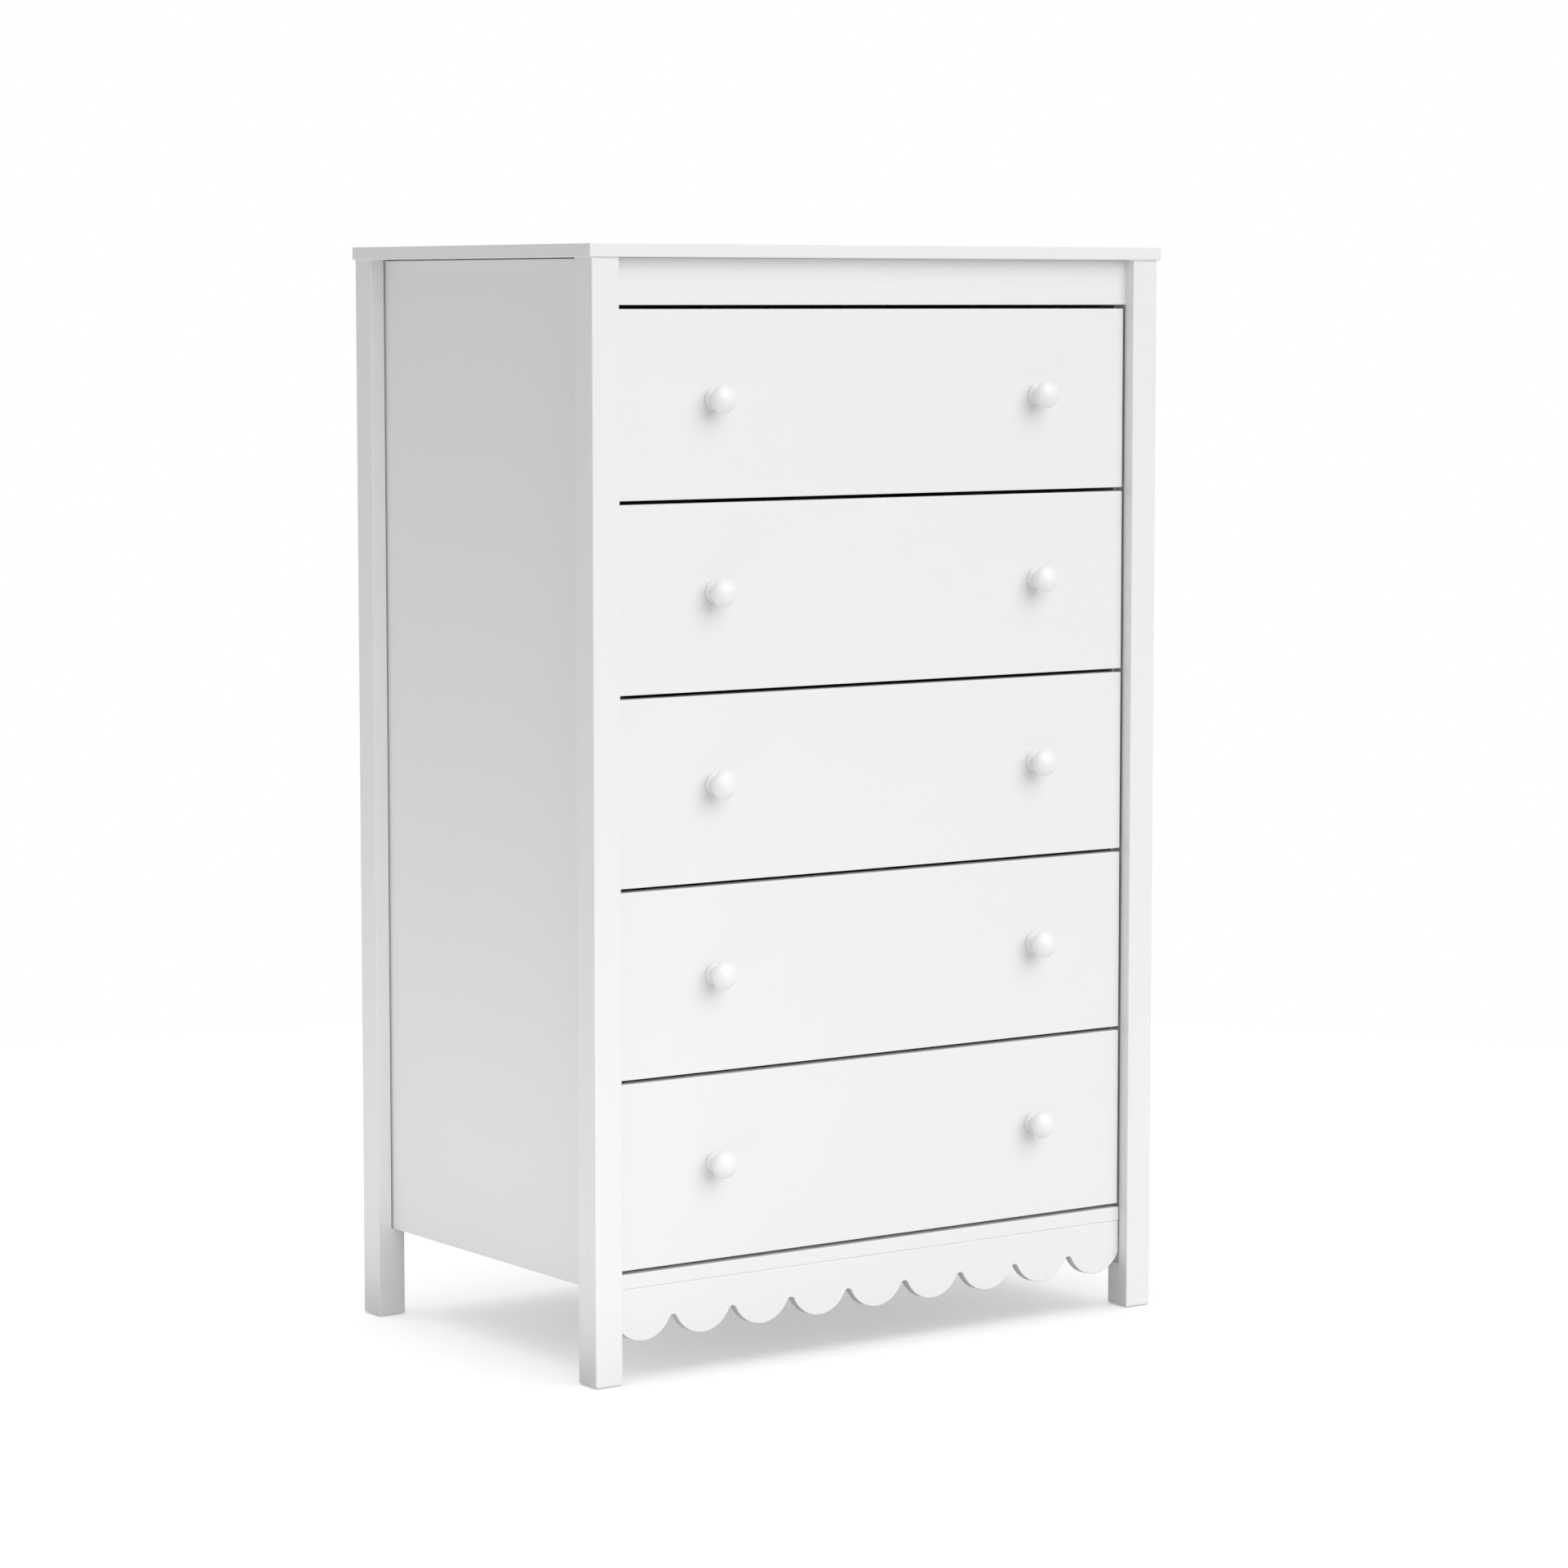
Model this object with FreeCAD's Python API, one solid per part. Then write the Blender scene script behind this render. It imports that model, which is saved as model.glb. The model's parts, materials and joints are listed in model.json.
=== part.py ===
import FreeCAD, Part
import math
import os

# Tall chest of five drawers on four corner legs, as separate boards, slides and fittings.
# Millimetres. +X is the right-hand side, -Y is the front, +Z is up. The origin is on the floor,
# in the middle of the chest's outer box, which reaches from the knobs to the back of the legs.

# ---- driving dimensions ----
CASE_WIDTH = 762.0           # across the outer faces of the legs
CASE_DEPTH = 487.0           # from the front to the back faces of the legs
CASE_HEIGHT = 1200.0         # floor to the underside of the top
TOP_THICKNESS = 14.0
TOP_SIDE_OVERHANG = 4.0
TOP_FRONT_OVERHANG = 2.6
LEG = 34.0                   # side of the square leg
LEG_FACE_BOARD = 15.0        # front board of a front leg, inner board of a rear leg
FRONT_SET_BACK = 14.0        # drawer fronts, rails and apron behind the leg faces
GLIDE_THICKNESS = 1.5
BASE_HEIGHT = 100.4          # floor to the underside of the bottom board
BOARD = 16.0                 # rails and bottom board
TOP_RAIL_HEIGHT = 50.0
REAR_RAIL_HEIGHT = 70.0
BACK_PANEL = 4.0
EASED_EDGE = 1.2             # rounding on the edges that show
SEAM_EDGE = 0.4              # rounding where the two boards of a leg meet
PANEL_REBATE = 2.4           # open joint in a rear leg, beside the side panel's outer face
PANEL_REBATE_DEPTH = 8.0
CORE_REBATE = 3.0            # hollow of a front leg behind its face board
CORE_REBATE_LOW = 50.0       # above the floor
TOP_SHADOW_GAP = 1.5         # open joint between a side panel and the top
TOP_SHADOW_DEPTH = 6.5
FRONT_SHADOW_GAP = 1.2       # open joint between the legs and the ends of apron and bottom board

# ---- apron ----
APRON_THICKNESS = 12.0
LOBE_PITCH = 77.8
LOBE_COUNT = 9
LOBE_RADIUS = 38.0
LOBE_BOTTOM = 41.8           # height of the lobes above the floor
NOTCH_RADIUS = 5.2

# ---- drawers ----
DRAWER_COUNT = 5
DRAWER_GAP = 4.2             # above, between and below the fronts
DRAWER_SIDE_GAP = 3.0
FRONT_THICKNESS = 18.0
BOX_BOARD = 12.0
BOX_HEIGHT = 150.0
BOX_LENGTH = 420.0
BOX_LIFT = 14.0              # drawer box above the lower edge of its front
BOTTOM_THICKNESS = 4.0
BOTTOM_LIFT = 10.0           # drawer bottom above the lower edge of the box
GROOVE_DEPTH = 6.0
GROOVE_PLAY = 0.2
KNOB_SPACING = 437.0         # between the two knobs of a drawer
KNOB_RISE = 5.6              # knob axis above the middle of the front

# ---- knob, turned about the Y axis ----
KNOB_PROJECTION = 30.2
KNOB_HEAD_RADIUS = 15.3
KNOB_HEAD_CENTRE = 20.0      # in front of the drawer face
KNOB_FLANGE_RADIUS = 11.25
KNOB_FLANGE_THICKNESS = 2.2
KNOB_FLANGE_EDGE = 1.0
KNOB_NECK_RADIUS = 6.5
KNOB_NECK_WAIST = 7.0        # narrowest place of the neck, in front of the drawer face
KNOB_NECK_FOOT = 2.1         # the neck is this much wider where it leaves the flange
KNOB_NECK_END = 0.7          # and this much wider where it meets the head
KNOB_RIM_RADIUS = 7.0        # small arc around the head
KNOB_SCREW_DEPTH = 14.0

# ---- telescopic slides ----
SLIDE_LENGTH = 400.0
SLIDE_START = 36.0           # behind the leg faces
SLIDE_WIDTH = 12.7           # between the case and the drawer box
SLIDE_SHEET = 1.2
SLIDE_CENTRE = 60.0          # above the lower edge of the drawer box
CASE_MEMBER = (0.0, 8.5, 22.5)      # nearest and farthest from the case side, half height
MIDDLE_MEMBER = (3.0, 10.0, 20.0)
DRAWER_MEMBER = (6.0, 12.7, 17.3)

# ---- fixings ----
DOWEL_RADIUS = 4.0
DOWEL_LENGTH = 30.0
THIN_DOWEL_RADIUS = 3.0      # in the apron and in the side panels
FRONT_DOWEL_INSET = 10.0     # dowels from the edges of the top rail
REAR_DOWEL_INSET = 14.0      # dowels from the edges of the rear rail
APRON_DOWEL_INSET = 16.0     # dowels below the upper edge of the apron
DOWEL_IN_TOP = 7.0           # length of dowel in the top
DOWEL_IN_PANEL = 10.0        # length of the bottom board's dowels in a side panel
TOP_DOWEL_ROWS = (-240.0, 0.0, 240.0)
BOTTOM_DOWEL_ROWS = (80.0, 240.0, 400.0)    # behind the leg faces
PANEL_DOWEL_ROWS = (300.0, 700.0, 1100.0)   # above the floor
PANEL_DOWEL_DEPTH = 7.5      # from the inner face of a side panel
CAM_RADIUS = 7.5
CAM_DEPTH = 12.0
CAM_BOLT_RADIUS = 3.0
CAM_SET_BACK = 24.0          # centre of the cam from the end of its board
CAM_ROWS = (130.0, 350.0)    # cams of the bottom board, behind the leg faces
CAM_SLOT = 2.0
CAM_BOLT_SEAT = 11.0         # length of bolt in the leg or side panel
CAM_BOLT_GRIP = 4.0          # length of bolt inside the cam
SCREW_RADIUS = 1.75
SCREW_HEAD_RADIUS = 3.6
SCREW_HEAD = 1.2
SCREW_LENGTH = 11.0
SLIDE_SCREW_ROWS = (35.0, 200.0, 365.0)   # behind the front end of the slides
BOX_SCREW_LENGTH = 36.0
BOX_SCREW_ROWS = (35.0, 115.0)            # above the lower edge of the drawer box
BOX_BOLT_RADIUS = 3.0
BOX_BOLT_LENGTH = 28.0
BOX_BOLT_SEAT = 10.0                      # length of bolt in the drawer front
KNOB_SCREW_RADIUS = 2.0
KNOB_SCREW_HEAD_RADIUS = 4.5
KNOB_SCREW_HEAD = 2.2
ANTI_TIP_RADIUS = 2.5
ANTI_TIP_OFFSET = 200.0      # of each hole from the middle of the rear rail

# ---- places worked out from the sizes above ----
PANEL = LEG_FACE_BOARD                                # side panels end flush with the legs inside
FRONT = -(CASE_DEPTH - KNOB_PROJECTION + FRONT_SET_BACK) / 2
BACK = FRONT + CASE_DEPTH
HALF = CASE_WIDTH / 2
INSIDE = HALF - LEG                                   # half the width between the legs
FACE = FRONT + FRONT_SET_BACK                         # plane of the drawer fronts
BOX_START = FACE + FRONT_THICKNESS
OPENING_LOW = BASE_HEIGHT + BOARD
OPENING_HIGH = CASE_HEIGHT - TOP_RAIL_HEIGHT
DRAWER_SPACE = OPENING_HIGH - OPENING_LOW - DRAWER_GAP
DRAWER_PITCH = DRAWER_SPACE / DRAWER_COUNT
DRAWER_HEIGHT = DRAWER_PITCH - DRAWER_GAP
BOX_HALF = INSIDE - SLIDE_WIDTH
BACK_PANEL_FRONT = BACK - 12.0
REAR_RAIL_FRONT = BACK - 20.0
REAR_RAIL_LOW = CASE_HEIGHT - REAR_RAIL_HEIGHT
TOP_CAM_HEIGHT = OPENING_HIGH + TOP_RAIL_HEIGHT / 2
REAR_CAM_HEIGHT = REAR_RAIL_LOW + REAR_RAIL_HEIGHT / 2
LOBE_CENTRE = LOBE_BOTTOM + LOBE_RADIUS

X = FreeCAD.Vector(1, 0, 0)
Y = FreeCAD.Vector(0, 1, 0)
Z = FreeCAD.Vector(0, 0, 1)


def block(x0, x1, y0, y1, z0, z1):
    """Box between two corners."""
    return Part.makeBox(x1 - x0, y1 - y0, z1 - z0, FreeCAD.Vector(x0, y0, z0))


def rod(radius, length, x, y, z, axis):
    """Cylinder that starts at a point and runs along an axis."""
    return Part.makeCylinder(radius, length, FreeCAD.Vector(x, y, z), axis)


def mirrored(shape):
    """The same shape on the other side of the chest."""
    return shape.mirror(FreeCAD.Vector(0, 0, 0), X)


def on_both_sides(shapes):
    """A list of shapes with their mirror images."""
    return shapes + [mirrored(shape) for shape in shapes]


def runs_along(edge, axis):
    """Whether a straight edge is parallel to an axis."""
    return isinstance(edge.Curve, Part.Line) and abs(edge.tangentAt(edge.FirstParameter).dot(axis)) > 0.999


def eased(shape, axes=(X, Y, Z)):
    """Round a board's straight edges, or only those along some axes."""
    chosen = [edge for edge in shape.Edges if any(runs_along(edge, axis) for axis in axes)]
    return shape.makeFillet(EASED_EDGE, chosen)


def without(shape, cutters):
    """Cut a list of shapes out of a board."""
    return shape.cut(Part.makeCompound(cutters)) if cutters else shape


def write(name, shapes):
    """Write one node: a single solid or a group of separate solids."""
    solids = [solid for shape in shapes for solid in shape.Solids]
    for solid in solids:
        assert solid.isValid() and solid.Volume > 0, name
    result = solids[0] if len(solids) == 1 else Part.makeCompound(solids)
    result.exportStep("parts/" + name + ".step")
    box = result.BoundBox
    print(f"{name:28s} {len(solids):3d}  {box.XLength:7.1f} {box.YLength:7.1f} {box.ZLength:7.1f}")


# ---- wooden dowels and cam fittings, which the boards are drilled for ----
def rail_dowels():
    """Dowels from the two top rails and the apron into the legs, on the right side."""
    front = FACE + BOARD / 2
    rear = REAR_RAIL_FRONT + BOARD / 2
    seats = [(front, OPENING_HIGH + FRONT_DOWEL_INSET), (front, CASE_HEIGHT - FRONT_DOWEL_INSET)]
    seats += [(rear, REAR_RAIL_LOW + REAR_DOWEL_INSET), (rear, CASE_HEIGHT - REAR_DOWEL_INSET)]
    start = INSIDE - DOWEL_LENGTH / 2
    dowels = [rod(DOWEL_RADIUS, DOWEL_LENGTH, start, y, z, X) for y, z in seats]
    middle = FACE + APRON_THICKNESS / 2
    dowels.append(rod(THIN_DOWEL_RADIUS, DOWEL_LENGTH, start, middle, BASE_HEIGHT - APRON_DOWEL_INSET, X))
    return dowels


def bottom_dowels():
    """Dowels from the bottom board into the right side panel."""
    start = INSIDE - DOWEL_LENGTH + DOWEL_IN_PANEL
    height = BASE_HEIGHT + BOARD / 2
    return [rod(DOWEL_RADIUS, DOWEL_LENGTH, start, FRONT + y, height, X) for y in BOTTOM_DOWEL_ROWS]


def panel_dowels():
    """Dowels from the right side panel into the front and rear legs."""
    x = INSIDE + PANEL_DOWEL_DEPTH
    starts = (FRONT + LEG - DOWEL_LENGTH / 2, BACK - LEG - DOWEL_LENGTH / 2)
    rows = PANEL_DOWEL_ROWS
    return [rod(THIN_DOWEL_RADIUS, DOWEL_LENGTH, x, y, z, Y) for y in starts for z in rows]


def top_dowels():
    """Dowels that stand in the two top rails and hold the top panel."""
    start = CASE_HEIGHT + DOWEL_IN_TOP - DOWEL_LENGTH
    rows = (FACE + BOARD / 2, REAR_RAIL_FRONT + BOARD / 2)
    return [rod(DOWEL_RADIUS, DOWEL_LENGTH, x, y, start, Z) for y in rows for x in TOP_DOWEL_ROWS]


def side_dowels():
    """All the dowels of both sides."""
    return on_both_sides(rail_dowels() + bottom_dowels() + panel_dowels())


def cam_seats():
    """Round seats of the right side's cams, in the top rail, rear rail and bottom board."""
    x = INSIDE - CAM_SET_BACK
    seats = [rod(CAM_RADIUS, CAM_DEPTH, x, FACE + BOARD - CAM_DEPTH, TOP_CAM_HEIGHT, Y)]
    seats.append(rod(CAM_RADIUS, CAM_DEPTH, x, REAR_RAIL_FRONT, REAR_CAM_HEIGHT, Y))
    seats += [rod(CAM_RADIUS, CAM_DEPTH, x, FRONT + row, BASE_HEIGHT, Z) for row in CAM_ROWS]
    return seats


def cam_slots():
    """Screwdriver slots across the faces of the same cams that show."""
    x0 = INSIDE - CAM_SET_BACK - CAM_RADIUS
    x1 = INSIDE - CAM_SET_BACK + CAM_RADIUS
    half = CAM_SLOT / 2
    low, high = TOP_CAM_HEIGHT - half, TOP_CAM_HEIGHT + half
    slots = [block(x0, x1, FACE + BOARD - CAM_SLOT, FACE + BOARD, low, high)]
    low, high = REAR_CAM_HEIGHT - half, REAR_CAM_HEIGHT + half
    slots.append(block(x0, x1, REAR_RAIL_FRONT, REAR_RAIL_FRONT + CAM_SLOT, low, high))
    for row in CAM_ROWS:
        y0, y1 = FRONT + row - half, FRONT + row + half
        slots.append(block(x0, x1, y0, y1, BASE_HEIGHT, BASE_HEIGHT + CAM_SLOT))
    return slots


def cam_bolts():
    """Bolts that stand in the right leg or side panel and reach the cams."""
    places = [(FACE + BOARD / 2, TOP_CAM_HEIGHT), (REAR_RAIL_FRONT + BOARD / 2, REAR_CAM_HEIGHT)]
    places += [(FRONT + row, BASE_HEIGHT + BOARD / 2) for row in CAM_ROWS]
    reach = CAM_SET_BACK - CAM_RADIUS + CAM_BOLT_GRIP
    return [rod(CAM_BOLT_RADIUS, reach + CAM_BOLT_SEAT, INSIDE - reach, y, z, X) for y, z in places]


def case_bores():
    """Everything that the boards of the case are drilled for."""
    return side_dowels() + top_dowels() + on_both_sides(cam_seats() + cam_bolts())


# ---- screws ----
def flat_screw(x, y, z, axis, length=SCREW_LENGTH):
    """Flat-headed screw that points along an axis, with its head's outer face at the point."""
    tip = axis * SCREW_HEAD
    shank = rod(SCREW_RADIUS, length - SCREW_HEAD, x + tip.x, y + tip.y, z + tip.z, axis)
    return rod(SCREW_HEAD_RADIUS, SCREW_HEAD, x, y, z, axis).fuse(shank)


def slide_height(base):
    """Height of the slides of a drawer whose front starts at the height base."""
    return base + BOX_LIFT + SLIDE_CENTRE


def drawer_bases():
    """Heights of the lower edges of the drawer fronts, top drawer first."""
    lowest = OPENING_LOW + DRAWER_GAP
    return [lowest + DRAWER_PITCH * step for step in reversed(range(DRAWER_COUNT))]


def case_slide_screws():
    """Screws through the case members into the right side panel."""
    head = INSIDE - CASE_MEMBER[0] - SLIDE_SHEET - SCREW_HEAD
    rows = [FRONT + SLIDE_START + row for row in SLIDE_SCREW_ROWS]
    return [flat_screw(head, y, slide_height(base), X) for base in drawer_bases() for y in rows]


# ---- case ----
def top_panel():
    """The top: a thin board with a small overhang, flush with the legs at the back."""
    half = HALF + TOP_SIDE_OVERHANG
    board = block(-half, half, FRONT - TOP_FRONT_OVERHANG, BACK, CASE_HEIGHT, CASE_HEIGHT + TOP_THICKNESS)
    return without(eased(board), top_dowels())


def leg_board(x0, x1, y0, y1, seam_axis, seam):
    """One board of a leg, with finer rounding along the seam than at the corners."""
    board = block(x0, x1, y0, y1, GLIDE_THICKNESS, CASE_HEIGHT)
    joint = [edge for edge in board.Edges if runs_along(edge, Z)]
    joint = [edge for edge in joint if abs(edge.CenterOfMass.dot(seam_axis) - seam) < SEAM_EDGE]
    board = board.makeFillet(SEAM_EDGE, joint)
    corners = [edge for edge in board.Edges if runs_along(edge, Z)]
    corners = [edge for edge in corners if abs(edge.CenterOfMass.dot(seam_axis) - seam) > 2 * SEAM_EDGE]
    return board.makeFillet(EASED_EDGE, corners)


def front_leg():
    """Right front leg: a face board in front of a thicker one, which is hollowed beside the drawers."""
    seam = FRONT + LEG_FACE_BOARD
    face = leg_board(INSIDE, HALF, FRONT, seam, Y, seam)
    core = leg_board(INSIDE, HALF, seam, FRONT + LEG, Y, seam)
    hollow = block(INSIDE, INSIDE + CORE_REBATE, seam, FRONT + LEG, CORE_REBATE_LOW, OPENING_HIGH)
    bores = case_bores() + glides()
    return [without(face, bores), without(core, bores + [hollow])]


def rear_leg():
    """Right rear leg: an outer board beside a thinner one, with open joints for both panels."""
    seam = INSIDE + LEG_FACE_BOARD
    outer = leg_board(seam, HALF, BACK - LEG, BACK, X, seam)
    inner = leg_board(INSIDE, seam, BACK - LEG, BACK, X, seam)
    low = BASE_HEIGHT - GROOVE_PLAY
    high = REAR_RAIL_LOW + GROOVE_DEPTH
    y0 = BACK_PANEL_FRONT - GROOVE_PLAY / 2
    y1 = y0 + BACK_PANEL + GROOVE_PLAY
    groove = block(INSIDE - EASED_EDGE, INSIDE + GROOVE_DEPTH, y0, y1, low, high)
    front = BACK - LEG
    joint = block(seam, seam + PANEL_REBATE, front, front + PANEL_REBATE_DEPTH, BASE_HEIGHT, CASE_HEIGHT)
    bores = case_bores() + glides()
    return [without(outer, bores + [joint]), without(inner, bores + [groove])]


def glides():
    """Nail-on glides: a thin disc under each leg, with its nail."""
    disc_radius = 11.0
    nail_radius = 1.5
    nail_length = 12.0
    result = []
    for y in (FRONT + LEG / 2, BACK - LEG / 2):
        disc = rod(disc_radius, GLIDE_THICKNESS, HALF - LEG / 2, y, 0, Z)
        nail = rod(nail_radius, nail_length + GLIDE_THICKNESS, HALF - LEG / 2, y, 0, Z)
        result.append(disc.fuse(nail).removeSplitter())
    return on_both_sides(result)


def side_panel():
    """Right side panel, with an open joint on its outer face under the top."""
    front, rear = FRONT + LEG, BACK - LEG
    outer = INSIDE + PANEL
    board = eased(block(INSIDE, outer, front, rear, BASE_HEIGHT, CASE_HEIGHT), axes=(Y,))
    joint = block(outer - TOP_SHADOW_DEPTH, outer, front, rear, CASE_HEIGHT - TOP_SHADOW_GAP, CASE_HEIGHT)
    return without(board, [joint] + case_bores() + case_slide_screws())


def top_rail():
    """Rail across the front, above the drawers."""
    board = block(-INSIDE, INSIDE, FACE, FACE + BOARD, OPENING_HIGH, CASE_HEIGHT)
    return without(eased(board, axes=(X,)), case_bores())


def rear_rail():
    """Rail across the back, with a groove for the back panel and the two anti-tip holes."""
    board = block(-INSIDE, INSIDE, REAR_RAIL_FRONT, REAR_RAIL_FRONT + BOARD, REAR_RAIL_LOW, CASE_HEIGHT)
    y0 = BACK_PANEL_FRONT - GROOVE_PLAY / 2
    y1 = y0 + BACK_PANEL + GROOVE_PLAY
    groove = block(-INSIDE, INSIDE, y0, y1, REAR_RAIL_LOW, REAR_RAIL_LOW + GROOVE_DEPTH)
    holes = []
    for x in (-ANTI_TIP_OFFSET, ANTI_TIP_OFFSET):
        holes.append(rod(ANTI_TIP_RADIUS, BOARD, x, REAR_RAIL_FRONT, REAR_CAM_HEIGHT, Y))
    return without(board, [groove] + holes + case_bores())


def bottom_board():
    """Floor of the case; its front edge shows under the lowest drawer."""
    board = block(-INSIDE, INSIDE, FACE, BACK_PANEL_FRONT, BASE_HEIGHT, OPENING_LOW)
    x = INSIDE - FRONT_SHADOW_GAP
    gap = block(x, INSIDE, FACE, FRONT + LEG, BASE_HEIGHT, OPENING_LOW)
    return without(eased(board, axes=(X,)), on_both_sides([gap]) + case_bores())


def back_panel():
    """Thin back, held in grooves in the rear legs and the rear rail."""
    half = INSIDE + GROOVE_DEPTH - GROOVE_PLAY
    high = REAR_RAIL_LOW + GROOVE_DEPTH - GROOVE_PLAY
    return block(-half, half, BACK_PANEL_FRONT, BACK_PANEL_FRONT + BACK_PANEL, BASE_HEIGHT, high)


def scalloped_edge():
    """Lower edge of the apron from left to right: round lobes that meet in narrow notches."""
    half = INSIDE - FRONT_SHADOW_GAP
    half_pitch = LOBE_PITCH / 2
    span = LOBE_RADIUS + NOTCH_RADIUS
    notch_centre = LOBE_CENTRE - math.sqrt(span ** 2 - half_pitch ** 2)
    notch_top = notch_centre + NOTCH_RADIUS
    share = LOBE_RADIUS / span
    touch_x = half_pitch * share
    touch_z = LOBE_CENTRE - (LOBE_CENTRE - notch_centre) * share
    first = -(LOBE_COUNT - 1) / 2 * LOBE_PITCH
    end_z = LOBE_CENTRE - math.sqrt(LOBE_RADIUS ** 2 - (half + first) ** 2)
    edges = []
    start = FreeCAD.Vector(-half, FACE, end_z)
    for lobe in range(LOBE_COUNT):
        x = first + lobe * LOBE_PITCH
        last = lobe == LOBE_COUNT - 1
        end = FreeCAD.Vector(half if last else x + touch_x, FACE, end_z if last else touch_z)
        edges.append(Part.Arc(start, FreeCAD.Vector(x, FACE, LOBE_BOTTOM), end).toShape())
        if not last:
            start = FreeCAD.Vector(x + LOBE_PITCH - touch_x, FACE, touch_z)
            peak = FreeCAD.Vector(x + half_pitch, FACE, notch_top)
            edges.append(Part.Arc(end, peak, start).toShape())
    return edges, end_z


def apron():
    """Scalloped board under the bottom board, between the front legs."""
    edges, end_z = scalloped_edge()
    half = INSIDE - FRONT_SHADOW_GAP
    corners = [(half, end_z), (half, BASE_HEIGHT), (-half, BASE_HEIGHT), (-half, end_z)]
    points = [FreeCAD.Vector(x, FACE, z) for x, z in corners]
    edges += [Part.LineSegment(a, b).toShape() for a, b in zip(points, points[1:])]
    outline = Part.Wire(Part.__sortEdges__(edges))
    board = Part.Face(outline).extrude(FreeCAD.Vector(0, APRON_THICKNESS, 0))
    return without(board, side_dowels())


# ---- telescopic slides ----
def channel(member, height, web_at_case):
    """One right-hand slide member: a C-shaped sheet, open towards the case or the drawer."""
    near, far, half = member
    y0 = FRONT + SLIDE_START
    y1 = y0 + SLIDE_LENGTH
    body = block(INSIDE - far, INSIDE - near, y0, y1, height - half, height + half)
    near += SLIDE_SHEET if web_at_case else -SLIDE_SHEET
    far += SLIDE_SHEET if web_at_case else -SLIDE_SHEET
    half -= SLIDE_SHEET
    return body.cut(block(INSIDE - far, INSIDE - near, y0, y1, height - half, height + half))


def case_members():
    """The members screwed to the right side panel, one for each drawer."""
    screws = case_slide_screws()
    return [without(channel(CASE_MEMBER, slide_height(base), True), screws) for base in drawer_bases()]


def middle_members(base):
    """Both middle members of one drawer."""
    return on_both_sides([channel(MIDDLE_MEMBER, slide_height(base), True)])


def drawer_slide_screws(base):
    """Screws through the drawer member into the right side of the drawer box."""
    head = BOX_HALF + SLIDE_SHEET + SCREW_HEAD
    rows = [FRONT + SLIDE_START + row for row in SLIDE_SCREW_ROWS]
    return [flat_screw(head, y, slide_height(base), -X) for y in rows]


def drawer_members(base):
    """Both drawer members of one drawer."""
    member = channel(DRAWER_MEMBER, slide_height(base), False)
    return on_both_sides([without(member, drawer_slide_screws(base))])


# ---- drawers ----
def knob_places(base):
    """Axes of the two knobs of a drawer, as x and z."""
    z = base + DRAWER_HEIGHT / 2 + KNOB_RISE
    return [(-KNOB_SPACING / 2, z), (KNOB_SPACING / 2, z)]


def knob_screws(base):
    """Pan-headed screws from inside the drawer into the knobs."""
    result = []
    for x, z in knob_places(base):
        head = rod(KNOB_SCREW_HEAD_RADIUS, KNOB_SCREW_HEAD, x, BOX_START, z, Y)
        shank = rod(KNOB_SCREW_RADIUS, FRONT_THICKNESS + KNOB_SCREW_DEPTH, x, BOX_START, z, -Y)
        result.append(head.fuse(shank).removeSplitter())
    return result


def box_screws(base):
    """Countersunk screws through the right side of the drawer box into its back."""
    y = BOX_START + BOX_LENGTH - BOX_BOARD / 2
    low = base + BOX_LIFT
    return [flat_screw(BOX_HALF, y, low + row, -X, BOX_SCREW_LENGTH) for row in BOX_SCREW_ROWS]


def box_bolts(base):
    """Bolts between the right side of the drawer box and the drawer front."""
    x = BOX_HALF - BOX_BOARD / 2
    y = BOX_START - BOX_BOLT_SEAT
    low = base + BOX_LIFT
    return [rod(BOX_BOLT_RADIUS, BOX_BOLT_LENGTH, x, y, low + row, Y) for row in BOX_SCREW_ROWS]


def drawer_bores(base):
    """Everything that the boards of one drawer are drilled for."""
    return on_both_sides(drawer_slide_screws(base) + box_screws(base) + box_bolts(base))


def drawer_bottom(base, play):
    """Thin bottom in the grooves of the box; with play, the groove itself."""
    half = BOX_HALF - BOX_BOARD + GROOVE_DEPTH - GROOVE_PLAY + play
    y0 = BOX_START - GROOVE_DEPTH + GROOVE_PLAY - play
    y1 = BOX_START + BOX_LENGTH - BOX_BOARD + GROOVE_DEPTH - GROOVE_PLAY + play
    z0 = base + BOX_LIFT + BOTTOM_LIFT - play / 2
    return block(-half, half, y0, y1, z0, z0 + BOTTOM_THICKNESS + play)


def drawer_front(base):
    """Drawer front with eased edges, a groove for the bottom and holes for its fixings."""
    half = INSIDE - DRAWER_SIDE_GAP
    board = eased(block(-half, half, FACE, BOX_START, base, base + DRAWER_HEIGHT))
    holes = [rod(KNOB_SCREW_RADIUS, FRONT_THICKNESS, x, FACE, z, Y) for x, z in knob_places(base)]
    return without(board, holes + drawer_bores(base) + [drawer_bottom(base, GROOVE_PLAY)])


def box_sides(base):
    """Both sides of the drawer box."""
    low = base + BOX_LIFT
    inner = BOX_HALF - BOX_BOARD
    board = eased(block(inner, BOX_HALF, BOX_START, BOX_START + BOX_LENGTH, low, low + BOX_HEIGHT), axes=(Y,))
    board = without(board, drawer_bores(base) + [drawer_bottom(base, GROOVE_PLAY)])
    return on_both_sides([board])


def box_back(base):
    """Back of the drawer box, between its sides."""
    low = base + BOX_LIFT
    half = BOX_HALF - BOX_BOARD
    rear = BOX_START + BOX_LENGTH
    board = eased(block(-half, half, rear - BOX_BOARD, rear, low, low + BOX_HEIGHT), axes=(X,))
    return without(board, drawer_bores(base) + [drawer_bottom(base, GROOVE_PLAY)])


def line(start, end):
    """Straight edge of a knob's half section; a point is a radius and a distance from the face."""
    return Part.LineSegment(section_point(start), section_point(end)).toShape()


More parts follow.
